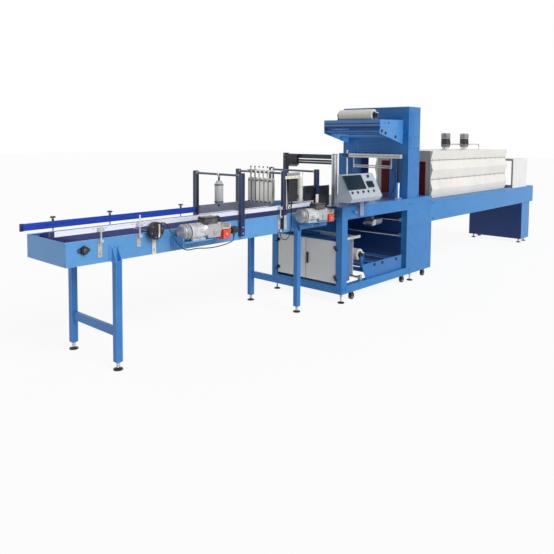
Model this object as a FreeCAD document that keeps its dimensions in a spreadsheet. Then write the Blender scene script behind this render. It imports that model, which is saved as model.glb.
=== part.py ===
import FreeCAD, Part
import Sketcher
import math
import os

# Film packaging machine: an infeed conveyor, a film wrapping frame with a sealing
# gantry, and a shrink tunnel in one straight line. X runs with the product, from the
# infeed end to the outfeed end, -Y is the operator's side and Z is up from the floor.
# Positions are written from the infeed conveyor's end plate (X), the line's centre
# plane (Y) and the floor (Z), and each piece is then moved to the part's origin.

os.makedirs("parts", exist_ok=True)
doc = FreeCAD.newDocument("film_packaging_machine")
sheet = doc.addObject("Spreadsheet::Sheet", "dims")
NODES = []


class Size:
    """A length that knows its number and the sheet expression that gives it."""

    def __init__(self, value, text):
        self.value = value
        self.text = text

    @staticmethod
    def of(thing):
        if isinstance(thing, Size):
            return thing
        return Size(float(thing), "(%r)" % float(thing))

    def mix(self, other, sign, value):
        return Size(value, "(%s %s %s)" % (self.text, sign, other.text))

    def __add__(self, other):
        other = Size.of(other)
        return self.mix(other, "+", self.value + other.value)

    def __sub__(self, other):
        other = Size.of(other)
        return self.mix(other, "-", self.value - other.value)

    def __mul__(self, other):
        other = Size.of(other)
        return self.mix(other, "*", self.value * other.value)

    def __truediv__(self, other):
        other = Size.of(other)
        return self.mix(other, "/", self.value / other.value)

    def __neg__(self):
        return Size(0.0, "(0)") - self

    def __radd__(self, other):
        return Size.of(other) + self

    def __rsub__(self, other):
        return Size.of(other) - self

    def __rmul__(self, other):
        return Size.of(other) * self


def size(name, value):
    """Write one driving dimension into the sheet and hand it back."""
    row = len(size.names) + 1
    size.names.append(name)
    sheet.set("A%d" % row, name)
    sheet.set("B%d" % row, str(value))
    sheet.setAlias("B%d" % row, name)
    return Size(float(value), "dims.%s" % name)


size.names = []

# Fits
run_gap = size("run_gap", 1)
face_gap = size("face_gap", 0.3)

# Infeed conveyor
conv_len = size("conv_len", 2851)
conv_wide = size("conv_wide", 562)
conv_top = size("conv_top", 957)
conv_deep = size("conv_deep", 170)
plate_thick = size("plate_thick", 5)
lip_wide = size("lip_wide", 24)
cross_bar_high = size("cross_bar_high", 14)
bed_thick = size("bed_thick", 4)
bed_end_gap = size("bed_end_gap", 10)
belt_thick = size("belt_thick", 14)
belt_proud = size("belt_proud", 2)
drum_dia = size("drum_dia", 104)
drum_in = size("drum_in", 128)
belt_side_gap = size("belt_side_gap", 8)
shaft_dia = size("shaft_dia", 20)
bearing_len = size("bearing_len", 113)
bearing_high = size("bearing_high", 66)
bearing_flange = size("bearing_flange", 12)
bearing_boss = size("bearing_boss", 27)
bearing_round = size("bearing_round", 11)
leg_one = size("leg_one", 371)
leg_two_back = size("leg_two_back", 501)
leg_side = size("leg_side", 50)
leg_foot_gap = size("leg_foot_gap", 58)
saddle_wide = size("saddle_wide", 96)
saddle_high = size("saddle_high", 120)
saddle_cap = size("saddle_cap", 8)
fin_plate = size("fin_plate", 6)
brace_high = size("brace_high", 66)
brace_mid = size("brace_mid", 274)
pad_dia = size("pad_dia", 70)
pad_high = size("pad_high", 16)
stem_dia = size("stem_dia", 16)
foot_nut = size("foot_nut", 12)

# Guide rails, their heights counted from the conveyor's top
rail_far_start = size("rail_far_start", -52)
rail_far_up = size("rail_far_up", 24)
rail_far_high = size("rail_far_high", 53)
rail_near_start = size("rail_near_start", -107)
rail_near_back = size("rail_near_back", 244)
rail_near_up = size("rail_near_up", 49)
rail_near_high = size("rail_near_high", 37)
rail_thick = size("rail_thick", 12)
rail_in = size("rail_in", 11)
lane_plate_back = size("lane_plate_back", 211)
lane_plate_up = size("lane_plate_up", 5)
lane_plate_high = size("lane_plate_high", 80)
rod_dia = size("rod_dia", 12)
clamp_one = size("clamp_one", 252)
clamp_two = size("clamp_two", 571)
clamp_three_back = size("clamp_three_back", 46)
clamp_long = size("clamp_long", 40)
clamp_high = size("clamp_high", 28)
knob_one = size("knob_one", 211)
knob_two = size("knob_two", 701)
knob_three_back = size("knob_three_back", 160)
knob_up = size("knob_up", 109)
slot_plate_wide = size("slot_plate_wide", 34)
slot_plate_thick = size("slot_plate_thick", 6)

# Sensor head and cords
drum_unit_at = size("drum_unit_at", 694)
drum_unit_dia = size("drum_unit_dia", 134)
drum_unit_deep = size("drum_unit_deep", 44)
drum_unit_gap = size("drum_unit_gap", 20)
drum_unit_up = size("drum_unit_up", 14)
cord_dia = size("cord_dia", 8)
thin_cord_dia = size("thin_cord_dia", 6)
gland_dia = size("gland_dia", 14)
gland_len = size("gland_len", 22)
gland_rise = size("gland_rise", 51)
sensor_out = size("sensor_out", 60)
cheek_cord_in = size("cheek_cord_in", 21)
cheek_gland = size("cheek_gland", 14)

# Geared motors and switches on the operator's side
motor_one = size("motor_one", 874)
motor_two_back = size("motor_two_back", 579)
motor_gap = size("motor_gap", 119)
motor_drop = size("motor_drop", 15)
motor_dia = size("motor_dia", 130)
cowl_len = size("cowl_len", 64)
body_len = size("body_len", 136)
flange_len = size("flange_len", 74)
gear_len = size("gear_len", 104)
gear_boss_dia = size("gear_boss_dia", 66)
gear_boss_share = size("gear_boss_share", 0.42)
fin_high = size("fin_high", 7)
fin_thick = size("fin_thick", 4)
fin_count = 20
control_start = size("control_start", 202)
control_len = size("control_len", 128)
control_up = size("control_up", 46)
control_high = size("control_high", 57)
control_wide = size("control_wide", 84)
wheel_at = size("wheel_at", 347)
wheel_up = size("wheel_up", 72)
hand_dia = size("hand_dia", 58)
hand_thick = size("hand_thick", 16)
shelf_thick = size("shelf_thick", 8)
switch_len = size("switch_len", 88)
switch_low_drop = size("switch_low_drop", 102)
switch_lift = size("switch_lift", 15)
switch_high = size("switch_high", 80)
switch_deep = size("switch_deep", 84)
switch_out = size("switch_out", 179)
switch_rib = size("switch_rib", 40)
actuator_dia = size("actuator_dia", 58)
actuator_neck = size("actuator_neck", 33)
actuator_len = size("actuator_len", 70)
actuator_drop = size("actuator_drop", 44)

# Lane section above the conveyor
portal_one = size("portal_one", 1612)
portal_three_back = size("portal_three_back", 206)
portal_pitch = size("portal_pitch", 485)
portal_post = size("portal_post", 40)
portal_shim = size("portal_shim", 2)
portal_up = size("portal_up", 405)
portal_drop = size("portal_drop", 135)
portal_bar = size("portal_bar", 20)
bar_drop = size("bar_drop", 18)
hung_dia = size("hung_dia", 78)
hung_high = size("hung_high", 207)
hung_up = size("hung_up", 121)
hung_side = size("hung_side", -13)
stop_side = size("stop_side", 40)
stop_pitch = size("stop_pitch", 56)
stop_shift = size("stop_shift", 20)
stop_up = size("stop_up", 89)
stop_high = size("stop_high", 230)
stop_count = 6
lug_high = size("lug_high", 12)
bracket_thick = size("bracket_thick", 8)
bracket_wide = size("bracket_wide", 28)
bracket_len = size("bracket_len", 201)
bracket_low_up = size("bracket_low_up", 53)
bracket_top_up = size("bracket_top_up", 363)

# Guards between the portals
guard_gap = size("guard_gap", 8)
guard_thick = size("guard_thick", 10)
guard_one_len = size("guard_one_len", 180)
guard_one_up = size("guard_one_up", 115)
guard_one_high = size("guard_one_high", 228)
head_high = size("head_high", 46)
head_deep = size("head_deep", 26)
column_at = size("column_at", 225)
column_dia = size("column_dia", 56)
guard_two_start = size("guard_two_start", 255)
guard_two_up = size("guard_two_up", 107)
guard_two_high = size("guard_two_high", 146)
guard_three_up = size("guard_three_up", 39)
guard_three_high = size("guard_three_high", 205)
guard_over = size("guard_over", 8)

# Pusher portal on the wrapping frame's deck
pusher_post = size("pusher_post", 45)
pusher_gap = size("pusher_gap", 49)
pusher_up = size("pusher_up", 529)
pusher_at = size("pusher_at", 54)
pusher_block_start = size("pusher_block_start", 130)
pusher_block_wide = size("pusher_block_wide", 130)
pusher_block_high = size("pusher_block_high", 110)
pusher_block_deep = size("pusher_block_deep", 40)

# Wrapping frame
frame_len = size("frame_len", 1865)
frame_wide = size("frame_wide", 950)
frame_low = size("frame_low", 95)
frame_up = size("frame_up", 26)
post_long = size("post_long", 92)
post_wide = size("post_wide", 75)
low_beam = size("low_beam", 80)
top_beam = size("top_beam", 129)
open_len = size("open_len", 1182)
skin = size("skin", 3)
seam_up = size("seam_up", 599)
seam_high = size("seam_high", 4)
seam_deep = size("seam_deep", 2)
seam_in = size("seam_in", 60)
deck_thick = size("deck_thick", 8)
front_beam = size("front_beam", 60)
rear_foot_at = size("rear_foot_at", 150)
drive_at = size("drive_at", 650)
drive_side = size("drive_side", -290)
drive_drop = size("drive_drop", 236)
drive_block = size("drive_block", 60)
drive_half = size("drive_half", 42)
drive_len = size("drive_len", 170)
drive_wheel = size("drive_wheel", 62)

# Electrical cabinet between the front posts
door_up = size("door_up", 27)
door_high = size("door_high", 426)
door_thick = size("door_thick", 18)
door_recess = size("door_recess", 9)
door_gap = size("door_gap", 8)
door_side_gap = size("door_side_gap", 8)
body_gap = size("body_gap", 6)
body_over = size("body_over", 8)
cabinet_rim = size("cabinet_rim", 22)
mount_in = size("mount_in", 60)
mount_thick = size("mount_thick", 4)
stud_len = size("stud_len", 10)
pin_out = size("pin_out", 7)
pin_in = size("pin_in", 5)
cabinet_deep = size("cabinet_deep", 210)
cabinet_wall = size("cabinet_wall", 3)
hinge_dia = size("hinge_dia", 12)
hinge_high = size("hinge_high", 34)
hinge_in = size("hinge_in", 44)
hinge_foot = size("hinge_foot", 14)
strap_wide = size("strap_wide", 30)
handle_up = size("handle_up", 160)
handle_high = size("handle_high", 116)
handle_wide = size("handle_wide", 20)
handle_deep = size("handle_deep", 12)

# Sealing gantry
gantry_back = size("gantry_back", 19)
gantry_deep = size("gantry_deep", 262)
gantry_in = size("gantry_in", 14)
gantry_up = size("gantry_up", 1065)
gate_in = size("gate_in", 31)
gate_up = size("gate_up", 467)
recess_deep = size("recess_deep", 8)
recess_up = size("recess_up", 68)
recess_high = size("recess_high", 128)
recess_side = size("recess_side", 190)
recess_far = size("recess_far", 243)
cheek_thick = size("cheek_thick", 60)
cheek_gap = size("cheek_gap", 54)
far_cheek_in = size("far_cheek_in", 190)
far_cheek_gap = size("far_cheek_gap", 33)
cheek_slot_at = size("cheek_slot_at", 346)
cheek_slot_wide = size("cheek_slot_wide", 24)
shoulder_wide = size("shoulder_wide", 52)
shoulder_up = size("shoulder_up", 44)
shoulder_lead = size("shoulder_lead", 20)
seal_bar_high = size("seal_bar_high", 44)
seal_bar_thick = size("seal_bar_thick", 50)
seal_gap = size("seal_gap", 12)
seal_far = size("seal_far", 350)
lift_dia = size("lift_dia", 50)
lift_len = size("lift_len", 275)
lift_rod = size("lift_rod", 20)
lift_in = size("lift_in", 76)
lift_plate = size("lift_plate", 56)
lift_foot = size("lift_foot", 14)
lift_over = size("lift_over", 40)
guide_at = size("guide_at", 326)
bar_rod = size("bar_rod", 14)
bar_rod_near = size("bar_rod_near", -312)
bar_rod_len = size("bar_rod_len", 536)
bar_rod_one = size("bar_rod_one", 115)
bar_rod_two = size("bar_rod_two", 93)
bar_arm_thick = size("bar_arm_thick", 10)
bar_arm_high = size("bar_arm_high", 127)

# Film rolls and their cradles
cradle_in = size("cradle_in", 76)
cradle_len = size("cradle_len", 497)
cradle_drop = size("cradle_drop", 161)
cradle_plate = size("cradle_plate", 6)
cradle_front_high = size("cradle_front_high", 154)
cradle_back_high = size("cradle_back_high", 272)
cradle_front = size("cradle_front", 100)
cradle_shelf_drop = size("cradle_shelf_drop", 76)
cradle_shelf = size("cradle_shelf", 12)
roll_dia = size("roll_dia", 122)
core_dia = size("core_dia", 50)
core_wall = size("core_wall", 6)
shaft_out = size("shaft_out", 44)
film_wide = size("film_wide", 450)
stand_long = size("stand_long", 48)
stand_thick = size("stand_thick", 12)
stand_gap = size("stand_gap", 22)
upper_roll_in = size("upper_roll_in", 57)
upper_roll_up = size("upper_roll_up", 56)
upper_roll_mid = size("upper_roll_mid", -45)
lower_roll_back = size("lower_roll_back", 122)
lower_roll_up = size("lower_roll_up", 245)
lower_roll_mid = size("lower_roll_mid", -105)
lower_cradle_in = size("lower_cradle_in", 35)
lower_cradle_high = size("lower_cradle_high", 161)
lower_cradle_back = size("lower_cradle_back", 50)
lower_roller_up = size("lower_roller_up", 131)
lower_shelf_up = size("lower_shelf_up", 75)
lower_shelf_half = size("lower_shelf_half", 70)
cradle_roller_dia = size("cradle_roller_dia", 32)
web_back = size("web_back", 313)
web_up = size("web_up", 25)
web_len = size("web_len", 440)
web_thick = size("web_thick", 3)
web_roller = size("web_roller", 24)
rear_roller_low = size("rear_roller_low", 460)
rear_roller_top = size("rear_roller_top", 640)

# Operator's console
panel_lead = size("panel_lead", 125)
panel_wide = size("panel_wide", 528)
panel_gap = size("panel_gap", 30)
panel_up = size("panel_up", 66)
panel_high = size("panel_high", 270)
panel_top_deep = size("panel_top_deep", 52)
panel_deep = size("panel_deep", 178)
panel_foot_deep = size("panel_foot_deep", 140)
panel_nose = size("panel_nose", 42)
arm_at = size("arm_at", 394)
arm_wide = size("arm_wide", 64)
arm_plate = size("arm_plate", 8)
arm_foot = size("arm_foot", 12)

# Shrink tunnel
base_drop = size("base_drop", 55)
base_deep = size("base_deep", 259)
base_web = size("base_web", 92)
base_floor = size("base_floor", 60)
tunnel_drum = size("tunnel_drum", 88)
tunnel_belt_thick = size("tunnel_belt_thick", 12)
tunnel_belt_drop = size("tunnel_belt_drop", 12)
tunnel_belt_in = size("tunnel_belt_in", 30)
tunnel_drum_in = size("tunnel_drum_in", 70)
hood_gap = size("hood_gap", 99)
hood_len = size("hood_len", 2385)
hood_high = size("hood_high", 602)
hood_in = size("hood_in", 50)
hood_wall = size("hood_wall", 105)
hood_roof = size("hood_roof", 168)
cover_back = size("cover_back", 12)
cover_seam = size("cover_seam", 3)
cover_share = size("cover_share", 0.402)
ridge = size("ridge", 30)
strip_thick = size("strip_thick", 4)
strip_seam = size("strip_seam", 2)
strip_count = 8
fan_dia = size("fan_dia", 124)
fan_high = size("fan_high", 234)
fan_one_at = size("fan_one_at", 899)
fan_two_at = size("fan_two_at", 1481)
fan_out = size("fan_out", 140)
fan_rib_count = 8
conduit_dia = size("conduit_dia", 16)
conduit_up = size("conduit_up", 80)
conduit_end = size("conduit_end", 1998)
conduit_bend = size("conduit_bend", 33)
outlet_gap = size("outlet_gap", 130)
outlet_len = size("outlet_len", 595)
outlet_drop = size("outlet_drop", 148)
outlet_skin = size("outlet_skin", 28)
tail_len = size("tail_len", 312)
support_back = size("support_back", 44)
support_len = size("support_len", 345)
support_in = size("support_in", 33)
support_low = size("support_low", 62)
support_foot_in = size("support_foot_in", 60)

# Wheels
wheel_dia = size("wheel_dia", 75)
wheel_wide = size("wheel_wide", 24)
wheel_lift = size("wheel_lift", 3)
caster_in = size("caster_in", 45)
caster_plate = size("caster_plate", 6)
caster_trail = size("caster_trail", 22)

doc.recompute()

# Places that follow from the sizes
half_conv = conv_wide / 2
belt_top = conv_top + belt_proud
drum_z = belt_top - belt_thick - drum_dia / 2
tail_x = drum_in
head_x = conv_len - drum_in
leg_two = conv_len - leg_two_back
portal_three = conv_len - portal_three_back
portal_two = portal_three - portal_pitch
portal_top = conv_top + portal_up
portal_low = conv_top - portal_drop
rail_gap_y = half_conv - rail_in
rail_far_low = conv_top + rail_far_up
rail_far_end = portal_one - portal_post / 2
rail_near_low = conv_top + rail_near_up
rail_near_end = conv_len - rail_near_back
motor_two = conv_len - motor_two_back
motor_y = half_conv + motor_gap
motor_mid = conv_top - motor_drop
frame_x0 = conv_len
frame_x1 = frame_x0 + frame_len
frame_top = conv_top + frame_up
open_x0 = frame_x0 + post_long
open_x1 = open_x0 + open_len
half_frame = frame_wide / 2
beam_top = frame_low + low_beam
door_low = beam_top + door_up
gantry_start = open_x1 + gantry_back
gantry_half = half_frame - gantry_in
gantry_top = frame_top + gantry_up
gate_half = half_conv - gate_in
gate_top = frame_top + gate_up
cheek_cord_y = -gate_half - cheek_cord_in
lift_y = half_frame - lift_in
cradle_half = gantry_half - cradle_in
cradle_start = gantry_start - cradle_len
cradle_top = gantry_top - cradle_drop
upper_roll_x = cradle_start + upper_roll_in
upper_roll_z = cradle_top + upper_roll_up
web_x = open_x0 + web_back
lower_roll_x = web_x + lower_roll_back
lower_roll_z = beam_top + lower_roll_up
panel_back = half_frame + panel_gap
panel_front = panel_back + panel_deep
panel_low = frame_top + panel_up
base_top = frame_top - base_drop
base_low = base_top - base_deep
hood_start = frame_x1 + hood_gap
hood_end = hood_start + hood_len
hood_top = base_top + hood_high
hood_half = half_frame - hood_in
channel_half = hood_half - hood_wall
channel_top = hood_top - hood_roof
outlet_start = hood_end + outlet_gap
outlet_end = outlet_start + outlet_len
outlet_top = hood_top - outlet_drop
tunnel_end = outlet_end + tail_len
origin_x = (rail_near_start + tunnel_end) / 2
origin_y = (gantry_half + shoulder_wide - panel_front) / 2


def bind(thing, **fields):
    """Set each property of an object and tie it to the sheet."""
    for field, value in fields.items():
        value = Size.of(value)
        setattr(thing, field, value.value)
        thing.setExpression(field, value.text)
    return thing


def place(thing, x, y, z, axis=None, angle=0.0):
    """Put an object at a point of the line, turned about an axis through it."""
    x, y, z = Size.of(x) - origin_x, Size.of(y) - origin_y, Size.of(z)
    turn = FreeCAD.Rotation(FreeCAD.Vector(*axis), angle) if axis else FreeCAD.Rotation()
    thing.Placement = FreeCAD.Placement(FreeCAD.Vector(x.value, y.value, z.value), turn)
    for name, value in (("x", x), ("y", y), ("z", z)):
        thing.setExpression("Placement.Base." + name, value.text)
    return thing


def box(x, y, z, long, wide, high, name="box"):
    """A block from its low corner."""
    thing = doc.addObject("Part::Box", name)
    bind(thing, Length=long, Width=wide, Height=high)
    return place(thing, x, y, z)


def box_to(x0, x1, y0, y1, z0, z1, name="box"):
    """A block between two corners."""
    x0, y0, z0 = Size.of(x0), Size.of(y0), Size.of(z0)
    return box(x0, y0, z0, Size.of(x1) - x0, Size.of(y1) - y0, Size.of(z1) - z0, name)


TURNS = {"z": (None, 0.0), "x": ((0, 1, 0), 90.0), "y": ((1, 0, 0), -90.0)}


def rod(axis, x, y, z, dia, long, name="rod"):
    """A round bar that starts at a point and runs along +X, +Y or +Z."""
    thing = doc.addObject("Part::Cylinder", name)
    bind(thing, Radius=Size.of(dia) / 2, Height=long)
    turn = TURNS[axis]
    return place(thing, x, y, z, turn[0], turn[1])


def cone(axis, x, y, z, dia0, dia1, long, name="cone"):
    """A tapered round piece that starts at a point and runs along +X, +Y or +Z."""
    thing = doc.addObject("Part::Cone", name)
    bind(thing, Radius1=Size.of(dia0) / 2, Radius2=Size.of(dia1) / 2, Height=long)
    turn = TURNS[axis]
    return place(thing, x, y, z, turn[0], turn[1])


def fuse(parts, name="fused"):
    """Join touching solids into one."""
    thing = doc.addObject("Part::MultiFuse", name)
    thing.Shapes = parts
    thing.Refine = True
    return thing


def cut(base, tool, name="cut"):
    """Take a tool, or a list of tools, away from a solid."""
    if isinstance(tool, list):
        tool = group(tool, "tools") if len(tool) > 1 else tool[0]
    thing = doc.addObject("Part::Cut", name)
    thing.Base = base
    thing.Tool = tool
    return thing


def group(parts, name="group"):
    """Keep separate solids together in one shape."""
    thing = doc.addObject("Part::Compound", name)
    thing.Links = parts
    return thing


def node(label, thing):
    """Name a finished sub-part."""
    thing.Label = label
    NODES.append(thing)
    return thing


PLANES = {"YZ": "YZ_Plane", "XZ": "XZ_Plane", "XY": "XY_Plane"}


def sketch_on(body, plane, name):
    """An empty sketch on one of a body's own origin planes."""
    sketch = body.newObject("Sketcher::SketchObject", name)
    role = PLANES[plane]
    face = [item for item in body.Origin.OriginFeatures if item.Role == role][0]
    sketch.AttachmentSupport = [(face, "")]
    sketch.MapMode = "FlatFace"
    return sketch


def outline(sketch, points):
    """A closed polygon whose corners are tied to the sheet."""
    points = [(Size.of(a), Size.of(b)) for a, b in points]
    count = len(points)
    for i in range(count):
        a, b = points[i], points[(i + 1) % count]
        line = Part.LineSegment(FreeCAD.Vector(a[0].value, a[1].value, 0),
                                FreeCAD.Vector(b[0].value, b[1].value, 0))
        sketch.addGeometry(line, False)
    for i in range(count):
        sketch.addConstraint(Sketcher.Constraint("Coincident", i, 2, (i + 1) % count, 1))
    for i in range(count):
        for kind, value in (("DistanceX", points[i][0]), ("DistanceY", points[i][1])):
            index = sketch.addConstraint(Sketcher.Constraint(kind, -1, 1, i, 1, value.value))
            sketch.setExpression("Constraints[%d]" % index, value.text)
    return sketch


def profile(label, plane, points, start, long):
    """A polygon drawn on a plane of the line and padded along the plane's normal.

    On YZ the corners are (y, z) and the pad runs along +X from start. On XZ they are
    (x, z) and the pad runs along +Y from start. On XY they are (x, y), along +Z.
    """
    body = doc.addObject("PartDesign::Body", label)
    sketch = sketch_on(body, plane, label + "_sketch")
    shift = {"YZ": (origin_y, 0), "XZ": (origin_x, 0), "XY": (origin_x, origin_y)}[plane]
    outline(sketch, [(Size.of(a) - shift[0], Size.of(b) - shift[1]) for a, b in points])
    doc.recompute()
    pad = body.newObject("PartDesign::Pad", label + "_pad")
    pad.Profile = sketch
    bind(pad, Length=long)
    pad.Reversed = plane == "XZ"
    start = Size.of(start)
    moved = {"YZ": ("x", start - origin_x), "XZ": ("y", start - origin_y), "XY": ("z", start)}
    field, value = moved[plane]
    base = {"x": 0.0, "y": 0.0, "z": 0.0}
    base[field] = value.value
    body.Placement.Base = FreeCAD.Vector(base["x"], base["y"], base["z"])
    body.setExpression("Placement.Base." + field, value.text)
    body.Tip = pad
    return body


def turned(label, axis, points, at):
    """A solid of revolution about a line along X, Y or Z through a point.

    Each corner of the half profile is (distance along the axis, radius).
    """
    body = doc.addObject("PartDesign::Body", label)
    sketch = sketch_on(body, "XY", label + "_sketch")
    outline(sketch, points)
    doc.recompute()
    spin = body.newObject("PartDesign::Revolution", label + "_turn")
    spin.Profile = sketch
    spin.ReferenceAxis = (sketch, ["H_Axis"])
    spin.Angle = 360.0
    body.Tip = spin
    turn = {"x": ((0, 0, 1), 0.0), "y": ((0, 0, 1), 90.0), "z": ((0, 1, 0), -90.0)}[axis]
    place(body, at[0], at[1], at[2], turn[0], turn[1])
    return body


def slot_loop(x0, x1, z, radius, thick, wide, name):
    """A closed belt round two drums, as a solid loop centred on the line."""
    low_y = -wide / 2
    parts = []
    for extra, side in ((thick, 0.0), (Size.of(0.0), 1.0)):
        r = radius + extra
        block = box_to(x0, x1, low_y - side, low_y + wide + side, z - r, z + r)
        ends = [rod("y", x, low_y - side, z, r * 2, wide + 2 * side) for x in (x0, x1)]
        parts.append(fuse([block] + ends))
    return cut(parts[0], parts[1], name)


def levelling_foot(x, y, top):
    """A round pad on the floor with a threaded stem up to the piece it carries."""
    pad = rod("z", x, y, 0, pad_dia, pad_high / 2)
    dome = cone("z", x, y, pad_high / 2, pad_dia, stem_dia * 1.6, pad_high / 2)
    stem = rod("z", x, y, pad_high, stem_dia, Size.of(top) - pad_high)
    half = stem_dia * 0.8
    nut = box_to(x - half, x + half, y - half, y + half, Size.of(top) - foot_nut, top)
    return fuse([pad, dome, stem, nut])


def path_wire(points, radii):
    """Straight runs through the points, joined by tangent arcs of the given radii."""
    edges = []
    start = points[0]
    for k in range(1, len(points) - 1):
        before = (points[k - 1] - points[k]).normalize()
        after = (points[k + 1] - points[k]).normalize()
        half = before.getAngle(after) / 2
        back = radii[k - 1] / math.tan(half)
        centre = points[k] + (before + after).normalize() * (radii[k - 1] / math.sin(half))
        middle = centre + (points[k] - centre).normalize() * radii[k - 1]
        first, last = points[k] + before * back, points[k] + after * back
        edges.append(Part.LineSegment(start, first).toShape())
        edges.append(Part.Arc(first, middle, last).toShape())
        start = last
    edges.append(Part.LineSegment(start, points[-1]).toShape())
    return Part.Wire(edges)


def tube(label, route, dia, bend=None):
    """A round cord or pipe along straight runs and tangent arcs.

    Without a bend radius, each arc is as large as its two runs allow.
    """
    at = FreeCAD.Vector((-origin_x).value, (-origin_y).value, 0)
    points = [FreeCAD.Vector(*[Size.of(value).value for value in spot]) for spot in route]
    runs = [(points[k + 1] - points[k]).Length for k in range(len(points) - 1)]
    radii = []
    for k in range(1, len(points) - 1):
        turn = math.pi - (points[k - 1] - points[k]).getAngle(points[k + 1] - points[k])
        radii.append(bend.value if bend else 0.45 * min(runs[k - 1], runs[k]) / math.tan(turn / 2))
    wire = path_wire(points, radii)
    section = Part.Circle(points[0], points[1] - points[0], dia.value / 2).toShape()
    solid = wire.makePipeShell([Part.Wire([section])], True, False)
    expected = math.pi * dia.value ** 2 / 4 * wire.Length
    if abs(solid.Volume - expected) > expected * 0.01:
        raise RuntimeError("%s is not a clean tube" % label)
    print(label, "length %.0f" % wire.Length, "radii", " ".join("%.0f" % r for r in radii))
    thing = doc.addObject("Part::Feature", label + "_tube")
    thing.Shape = solid
    thing.Placement = FreeCAD.Placement(at, FreeCAD.Rotation())
    return thing


def conveyor_frame():
    """Two lipped side plates, an end plate, cross bars and the bed under the belt."""
    low = conv_top - conv_deep
    parts = []
    for side, name in ((-1, "near"), (1, "far")):
        web = side * half_conv
        inner = side * (half_conv - plate_thick)
        lip = side * (half_conv - lip_wide)
        points = [(web, low), (web, conv_top), (lip, conv_top), (lip, conv_top - plate_thick),
                  (inner, conv_top - plate_thick), (inner, low + plate_thick),
                  (lip, low + plate_thick), (lip, low)]
        if side > 0:
            points = points[::-1]
        parts.append(profile("side_plate_" + name, "YZ", points, 0, conv_len))
    inside = half_conv - plate_thick
    parts.append(box_to(0, plate_thick, -inside, inside, low, conv_top, "end_plate"))
    bar_z = low + plate_thick
    for share in (0.12, 0.37, 0.63, 0.88):
        bar_x = conv_len * share
        parts.append(box_to(bar_x, bar_x + leg_side, -inside, inside, bar_z, bar_z + cross_bar_high,
                            "cross_bar"))
    frame = fuse(parts, "conveyor_shell")
    holes = [rod("y", x, -half_conv - 1, drum_z, shaft_dia + 2 * run_gap, conv_wide + 2)
             for x in (tail_x, head_x)]
    bed_z = belt_top - belt_thick
    reach = drum_dia / 2 + bed_end_gap
    bed = box_to(tail_x + reach, head_x - reach, -inside, inside, bed_z - bed_thick, bed_z, "belt_bed")
    node("conveyor_frame", fuse([cut(frame, holes), bed]))


def conveyor_belt():
    """The belt, one closed loop round the two drums, and the drums on their shafts."""
    wide = conv_wide - 2 * lip_wide - 2 * belt_side_gap
    node("conveyor_belt", slot_loop(tail_x, head_x, drum_z, drum_dia / 2, belt_thick, wide, "loop"))
    drums = []
    for x in (tail_x, head_x):
        drum = rod("y", x, -wide / 2, drum_z, drum_dia - 2 * face_gap, wide)
        reach = half_conv + bearing_boss
        shaft = rod("y", x, -reach, drum_z, shaft_dia, 2 * reach)
        drums.append(fuse([drum, shaft]))
    node("conveyor_drums", group(drums))


def flange_bearing(x, side):
    """A two bolt flange bearing on the outside of a side plate."""
    face = half_conv if side > 0 else -half_conv - bearing_flange
    length, high = bearing_len / 2, bearing_high / 2
    points = [(x - length, drum_z), (x, drum_z - high), (x + length, drum_z), (x, drum_z + high)]
    label = "bearing_%d_%s" % (len(doc.Objects), "far" if side > 0 else "near")
    flange = profile(label, "XZ", points, face, bearing_flange)
    doc.recompute()
    pad = flange.Tip
    fillet = flange.newObject("PartDesign::Fillet", label + "_fillet")
    edges = [i + 1 for i, edge in enumerate(pad.Shape.Edges)
             if abs(edge.Length - bearing_flange.value) < 0.01]
    fillet.Base = (pad, ["Edge%d" % i for i in edges])
    bind(fillet, Radius=bearing_round)
    flange.Tip = fillet
    boss_y = half_conv + bearing_flange if side > 0 else -half_conv - bearing_boss
    boss = rod("y", x, boss_y, drum_z, bearing_high * 0.78, bearing_boss - bearing_flange)
    hole_y = half_conv - 1 if side > 0 else -half_conv - bearing_boss - 1
    hole = rod("y", x, hole_y, drum_z, shaft_dia + 2 * face_gap, bearing_boss + 2)
    return cut(fuse([flange, boss]), hole)


def flange_bearings():
    """The bearings that carry both drum shafts."""
    spots = [(x, side) for x in (tail_x, head_x) for side in (-1, 1)]
    node("flange_bearings", group([flange_bearing(x, side) for x, side in spots]))


def leg_pair(label, x):
    """Two legs with gusseted saddles on the side plates and a cross brace."""
    low = conv_top - conv_deep
    parts = []
    back = half_conv
    mid = half_conv + plate_thick + leg_side / 2
    outer = mid + leg_side / 2
    half_leg = leg_side / 2
    for side in (-1, 1):
        plate = box_to(x - saddle_wide / 2, x + saddle_wide / 2,
                       -back - plate_thick if side < 0 else back,
                       -back if side < 0 else back + plate_thick, low, low + saddle_high)
        cap = box_to(x - half_leg - saddle_cap / 2, x + half_leg + saddle_cap / 2,
                     -outer if side < 0 else back, -back if side < 0 else outer, low - saddle_cap, low)
        inner = side * (back + plate_thick)
        far_edge = side * outer
        fins = []
        for at in (-half_leg, half_leg - fin_plate):
            points = [(inner, low), (far_edge, low), (far_edge, low + 2 * fin_plate),
                      (inner, low + saddle_high * 0.94)]
            if side > 0:
                points = points[::-1]
            fins.append(profile("%s_fin_%d" % (label, len(doc.Objects)), "YZ", points, x + at, fin_plate))
        leg = box_to(x - half_leg, x + half_leg, side * mid - half_leg, side * mid + half_leg,
                     leg_foot_gap, low - saddle_cap)
        parts += [plate, cap, leg] + fins
    inner = mid - half_leg
    parts.append(box_to(x - leg_side / 4, x + leg_side / 4, -inner, inner,
                        brace_mid - brace_high / 2, brace_mid + brace_high / 2))
    node(label, fuse(parts))


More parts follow.
